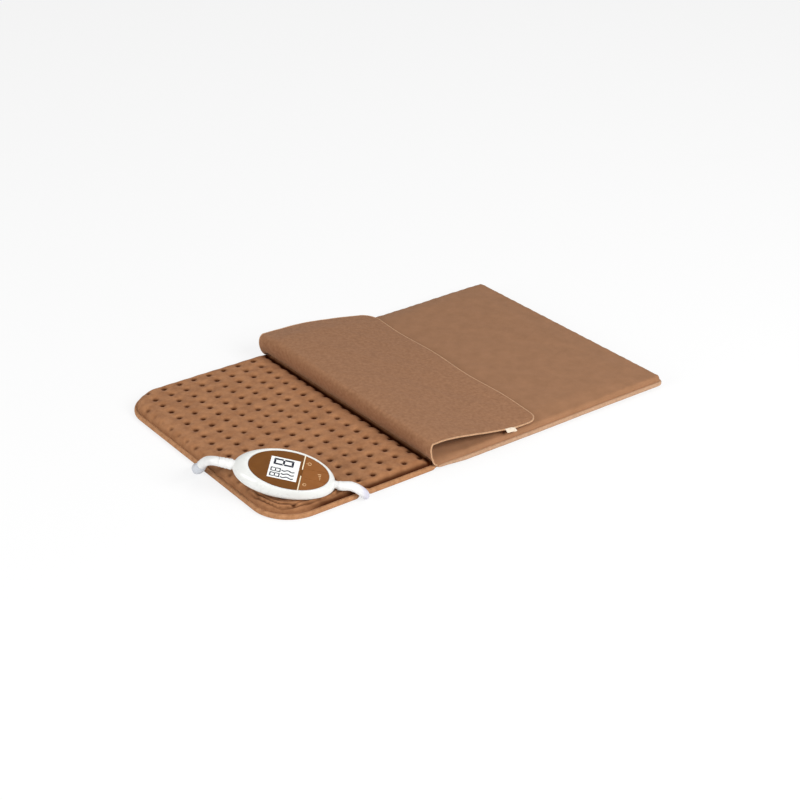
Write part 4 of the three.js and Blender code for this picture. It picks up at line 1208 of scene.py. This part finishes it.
def add_flap():
    to_side = FLAP_HALF_WIDTH * (1 - np.abs(FLAP_ROWS))[:, None]
    to_end = np.maximum(flap_end(FLAP_GRID[..., 1]) - FLAP_GRID[..., 0], 0)
    thick = lerp(EDGE_FABRIC, FABRIC, smooth(np.minimum(to_side, to_end) / EDGE_THINNING))
    half = FLAP_NORMAL * thick[..., None] / 2
    form = sheet(FLAP_GRID + half, FLAP_GRID - half)
    nodes = ["cover_fold", "cover_flap"]
    made = bending_piece("cover_fold_and_flap", form, "flap_lining", nodes, 60)


def add_flap_tape():
    """Narrow tape sewn over the flap's free edges and the open ends of the loop."""
    line = np.vstack([FLAP_GRID[0], FLAP_GRID[1:-1, -1], FLAP_GRID[-1][::-1]])
    x, y = line[:, 0], line[:, 1]
    corner_y = np.sign(y) * (FLAP_HALF_WIDTH - FLAP_CORNER)
    out = np.zeros_like(line)
    out[:, 0] = np.maximum(x - flap_end(y) + FLAP_CORNER, 0)
    out[:, 1] = np.where(np.abs(y) > np.abs(corner_y), y - corner_y, 0)
    form = tube(line + TAPE_OVERHANG * unit(out), TAPE_RADIUS, 14)
    bending_piece("flap_tape", form, "edge_tape", ["flap_edge_tape"])


def add_label():
    """Bare folded tab sewn into the flap's front edge."""
    z = float(flap_top(LABEL_X, -FLAP_HALF_WIDTH)) - FABRIC / 2 + 0.6
    along = np.linspace(-LABEL_HALF_WIDTH, LABEL_HALF_WIDTH, 11)
    x, drop = np.meshgrid(LABEL_X + along, np.linspace(0, 1, 7), indexing="ij")
    y = -FLAP_HALF_WIDTH - 0.6 - LABEL_LENGTH * drop
    z = z - LABEL_DROP * drop ** 1.4 + 0.2 * np.sin(0.6 * x) + LABEL_SLOPE * (LABEL_X - x)
    middle = np.stack([x, y, z], -1)
    half = LABEL_HALF_THICKNESS * grid_normals(middle)
    form = sheet(middle + half, middle - half)
    piece("blank_label", form, "label_cloth", ["care_label"], "flap", sharp=60)


add_front_panel()
add_back_panel()
add_cover_edge()
add_flap()
add_flap_tape()
add_label()


# Controller

RING = 2 * math.pi * np.arange(112) / 112


def ellipse_ring(centre, semi_x, semi_y, z):
    return np.column_stack([centre + semi_x * np.cos(RING), semi_y * np.sin(RING), np.full(len(RING), z)])


def upper_ring(angle, inset, rim_inset, high):
    """Ring of the upper shell, from the parting line at 0 degrees to the rim of the face at 90."""
    c, s = math.cos(math.radians(angle)), math.sin(math.radians(angle))
    semi_x = lerp(RIM_X - rim_inset, BODY_X - inset, c)
    semi_y = lerp(RIM_Y - rim_inset, BODY_Y - inset, c)
    return ellipse_ring(FACE_CENTRE * (1 - c), semi_x, semi_y, lerp(PARTING_GAP, high, s))


def lower_ring(angle, inset):
    """Ring of the lower shell, from the parting line at 0 degrees to the bottom of the belly at 90."""
    c, s = math.cos(math.radians(angle)), math.sin(math.radians(angle))
    x = (BODY_X - inset) * c * np.cos(RING)
    depth = (BODY_DOWN - inset) * (1 - BELLY_TAPER * x / BODY_X) * s
    return np.column_stack([x, (BODY_Y - inset) * c * np.sin(RING), -PARTING_GAP - depth])


def controller_piece(name, form, look, replaces=(), body="pad"):
    """A piece whose form is given in the controller's own axes."""
    points, faces = form
    return piece(name, (on_controller(points), faces), look, replaces, body, 35)


def add_shells():
    """Two hollow shells that meet at the widest line; the upper one has the pocket for the face."""
    outer = [upper_ring(a, 0, 0, BODY_UP) for a in np.linspace(0, 86, 16)]
    rim = []
    for way, drop in RIM_LIP:
        semi_x, semi_y = lerp(RIM_X, POCKET_X, way), lerp(RIM_Y, POCKET_Y, way)
        rim.append(ellipse_ring(FACE_CENTRE, semi_x, semi_y, BODY_UP + drop))
    pocket = [
        ellipse_ring(FACE_CENTRE, POCKET_X, POCKET_Y, FACE_FLOOR),
        ellipse_ring(FACE_CENTRE, *OPENING, FACE_FLOOR),
        ellipse_ring(FACE_CENTRE, *OPENING, CAVITY_TOP),
    ]
    inner = [upper_ring(a, WALL, RIM_WALL, CAVITY_TOP) for a in np.linspace(84, 0, 8)]
    form = loft([*outer, *rim, *pocket, *inner], joined=True)
    controller_piece("controller_top_case", form, "white_plastic", ["controller_upper_shell"])
    belly = [lower_ring(a, 0) for a in np.linspace(88.5, 0, 18)]
    cavity = [lower_ring(a, WALL) for a in np.linspace(0, 88.5, 12)]
    form = loft([*belly, *cavity])
    controller_piece("controller_base_case", form, "white_plastic", ["controller_lower_shell"])


def offset_outline(outline, inset):
    """Closed outline moved inwards by inset; the outline runs anticlockwise."""
    outline = np.asarray(outline, float)
    along = unit(np.roll(outline, -1, 0) - outline)
    inward = np.column_stack([-along[:, 1], along[:, 0]])
    corner = unit(inward + np.roll(inward, 1, 0))
    return outline + inset * corner / np.maximum(0.5, np.sum(corner * inward, axis=1, keepdims=True))


def plate(outline, low, high, rounding):
    """Flat plate with softly rounded upper edges."""
    softer = 0.3 * rounding
    levels = [(0, low), (0, high - rounding), (softer, high - softer)]
    levels += [(rounding, high), (1.6 * rounding, high)]
    return loft([np.column_stack([offset_outline(outline, i), np.full(len(outline), z)]) for i, z in levels])


def face_x(y):
    """Right border of the face at y."""
    return FACE_CENTRE + FACE_X * math.sqrt(max(0.0, 1 - (y / FACE_Y) ** 2))


def face_y(x):
    """Far border of the face at x."""
    return FACE_Y * math.sqrt(max(0.0, 1 - ((x - FACE_CENTRE) / FACE_X) ** 2))


def face_arc(y_from, y_to, count):
    return [(face_x(y), y) for y in np.linspace(y_from, y_to, count)]


def add_surround():
    """Dark panel round the display, with a tab that reaches between the dividers."""
    end = DIVIDER_LEFT - 0.06
    start = math.acos((end - FACE_CENTRE) / FACE_X)
    turns = np.linspace(start, 2 * math.pi - start, 120)
    arc = [(FACE_CENTRE + FACE_X * math.cos(a), FACE_Y * math.sin(a)) for a in turns]
    reach, tab = KEY_LEFT - 0.1, DIVIDER_INNER_Y - 0.1
    outline = [*arc, (end, -tab), (reach, -tab), (reach, tab), (end, tab)]
    form = plate(outline, PLATE_FLOOR, FACE_TOP, 0.25)
    controller_piece("display_surround", form, "face_plastic", ["display_panel"])


def add_dividers():
    left, right, inner = DIVIDER_LEFT, DIVIDER_RIGHT, DIVIDER_INNER_Y
    far = [(left, inner), (right, inner), (right, face_y(right)), (left, face_y(left))]
    near = [(x, -y) for x, y in far[::-1]]
    for side, strip in (("far", far), ("near", near)):
        form = plate(strip, PLATE_FLOOR, FACE_TOP + DIVIDER_PROUD, 0.2)
        controller_piece("divider_strip_" + side, form, "divider_plastic", ["divider_" + side])


def add_keys():
    edge = face_y(KEY_LEFT)
    outer, inner = KEY_SPLIT_Y + KEY_GAP, KEY_SPLIT_Y - KEY_GAP
    outlines = {
        "key_far": [(KEY_LEFT, outer), *face_arc(outer, edge, 30)],
        "key_end": [(KEY_LEFT, inner), (KEY_LEFT, -inner), *face_arc(-inner, inner, 20)],
        "key_near": [(KEY_LEFT, -outer), *face_arc(-edge, -outer, 30)],
    }
    for node, outline in outlines.items():
        form = plate(outline, KEY_FLOOR, FACE_TOP, 0.12)
        controller_piece(node + "_cap", form, "key_plastic", [node], node)


def stroke(points, width):
    """Outline of a line of the given width through points, open at its ends."""
    points = np.asarray(points, float)
    along = unit(np.gradient(points, axis=0))
    side = np.column_stack([-along[:, 1], along[:, 0]]) * width / 2
    return np.vstack([points - side, (points + side)[::-1]])


def marks(name, outlines, low, high, look, body):
    """Thin printed marks on the face, as one piece."""
    points, faces = [], []
    for outline in outlines:
        count, base = len(outline), len(points)
        points += [(x, y, z) for z in (low, high) for x, y in outline]
        for i in range(count // 2 - 1):
            j = count - 1 - i
            quad = [base + k for k in (i, i + 1, j - 1, j)]
            faces += [quad, [k + count for k in quad[::-1]]]
        for i in range(count):
            here, there = base + i, base + (i + 1) % count
            faces.append((here, there, there + count, here + count))
    controller_piece(name, (points, faces), look, (), body)


def digit(centre, width, height, thick):
    """Bars of a seven-segment 8, mitred at its corners; its top points to the display's left end."""
    out_w, out_h = (width + thick) / 2, (height + thick) / 2
    in_w, in_h = (width - thick) / 2, (height - thick) / 2
    slit, half = 0.08 * thick, thick / 2
    tip = in_w + half - 2 * slit
    upper = [(-tip, 0.02), (-in_w, half), (in_w, half), (tip, 0.02)]
    bars = [upper + [(x, -y) for x, y in upper[::-1]]]
    for up in (-1, 1):
        outer = [(-out_w + slit, up * out_h), (out_w - slit, up * out_h)]
        bars.append(outer + [(in_w, up * in_h), (-in_w, up * in_h)])
        for side in (-1, 1):
            outer = [(side * out_w, up * slit), (side * out_w, up * (out_h - slit))]
            bars.append(outer + [(side * in_w, up * (in_h - slit)), (side * in_w, up * (half + slit))])
    return [[(DISPLAY_CENTRE - centre[1] - y, centre[0] + x) for x, y in bar] for bar in bars]


def add_display():
    """Pale display with plain digits and three heat waves; its top points to the controller's lead end."""
    left, right = DISPLAY_CENTRE - DISPLAY_X / 2, DISPLAY_CENTRE + DISPLAY_X / 2
    half = DISPLAY_Y / 2
    outline = [(left, -half), (right, -half), (right, half), (left, half)]
    form = plate(outline, FACE_FLOOR + 0.3, DISPLAY_TOP, 0.06)
    controller_piece("display_pane", form, "clear_window", ["display_window"])
    small = [bar for centre in SMALL_DIGITS for bar in digit(centre, 4.6, 9.4, 1.2)]
    for row in WAVE_ROWS:
        reach = np.linspace(WAVE_START, WAVE_END, 17)
        wave = [(DISPLAY_CENTRE - y, row + 0.8 * math.sin(0.72 * (y - WAVE_START))) for y in reach]
        small.append(stroke(wave, 1.4))
    inked = {"display_digit": digit(BIG_DIGIT, 7.0, 18.6, 2.3), "display_marks": small}
    for name, outlines in inked.items():
        marks(name, outlines, DISPLAY_TOP - 0.02, DISPLAY_TOP + 0.06, "display_ink", "pad")


def ring_mark(centre, radius, start, stop, width):
    angles = np.radians(np.linspace(start, stop, 13))
    return stroke(centre + radius * np.column_stack([np.cos(angles), np.sin(angles)]), width)


def line_mark(centre, start, end, y, width):
    """Short straight mark that runs along x beside a centre."""
    return stroke([(centre[0] + x, centre[1] + y) for x in (start, end)], width)


def add_key_marks():
    """Small pale signs on the keys: on and off, level, time."""
    signs = {
        "key_far": [ring_mark(POWER_SIGN, 1.9, -140, 140, 0.6), line_mark(POWER_SIGN, -3.0, -0.3, 0, 0.6)],
        "key_end": [line_mark(LEVEL_SIGN, 1.8, 1.0 - 0.9 * k, 2.4 * k - 3.6, 0.8) for k in range(4)],
        "key_near": [ring_mark(TIME_SIGN, 1.8, 0, 345, 0.55), line_mark(TIME_SIGN, 0, -1.3, 0, 0.5)],
    }
    for node, sign in signs.items():
        marks(node + "_mark", sign, FACE_TOP - 0.03, FACE_TOP + 0.05, "key_sign", node)


add_shells()
add_surround()
add_dividers()
add_keys()
add_display()
add_key_marks()


# Inner pieces keep their solids and get their finish

def dress_solids():
    slots = {entry["node"]: entry["material_slot"] for entry in frame["record"]["subparts"]}
    for node, made in frame["nodes"].items():
        made.data.materials.clear()
        made.data.materials.append(LOOKS[slots[node]].made)


dress_solids()


# Floor, light and view

def add_floor():
    """Pale floor, partly white of itself so that it shows as white paper with a soft shadow."""
    mesh = bpy.data.meshes.new("floor")
    corners = [(x * FLOOR_REACH, y * FLOOR_REACH, FLOOR_Z) for x, y in ((-1, -1), (1, -1), (1, 1), (-1, 1))]
    mesh.from_pydata(corners, [], [(0, 1, 2, 3)])
    look = Look("floor_paper", 0.9, Specular_IOR_Level=0.0)
    look.drive("Base Color", look.mix(look.noise(400.0), (250, 250, 250), (249, 249, 249)))
    share = look.add("Math", 0, {0: look.seen_directly(), 1: FLOOR_WHITE}, operation="MULTIPLY")
    mixed = look.add("MixShader", 0, {0: share, 1: look.shader.outputs[0], 2: look.add("Emission", 0)})
    look.links.new(mixed, look.nodes["Material Output"].inputs["Surface"])
    mesh.materials.append(look.made)
    new_object("floor", mesh)


def add_lamp(name, place, size, power):
    lamp = bpy.data.lights.new(name, "AREA")
    lamp.shape = "SQUARE"
    lamp.size = size
    lamp.energy = power
    made = new_object(name, lamp)
    made.location = place
    made.rotation_euler = (-Vector(place)).to_track_quat("-Z", "Y").to_euler()


def add_world():
    """Soft even light; brighter where the camera, gloss or glass looks past the floor."""
    world = bpy.data.worlds.new("studio")
    bpy.context.scene.world = world
    tree = Tree(world)
    soft = tree.nodes["Background"]
    soft.inputs["Color"].default_value = (1.0, 1.0, 1.0, 1.0)
    soft.inputs["Strength"].default_value = SKY_LIGHT
    bright = tree.add("Background", 0, {"Strength": 1.0})
    mixed = tree.add("MixShader", 0, {0: tree.seen_directly(), 1: soft.outputs[0], 2: bright})
    tree.links.new(mixed, tree.nodes["World Output"].inputs["Surface"])


add_floor()
for name, lamp in LAMPS.items():
    add_lamp(name, **lamp)
add_world()
bpy.context.scene.view_settings.view_transform = "Standard"
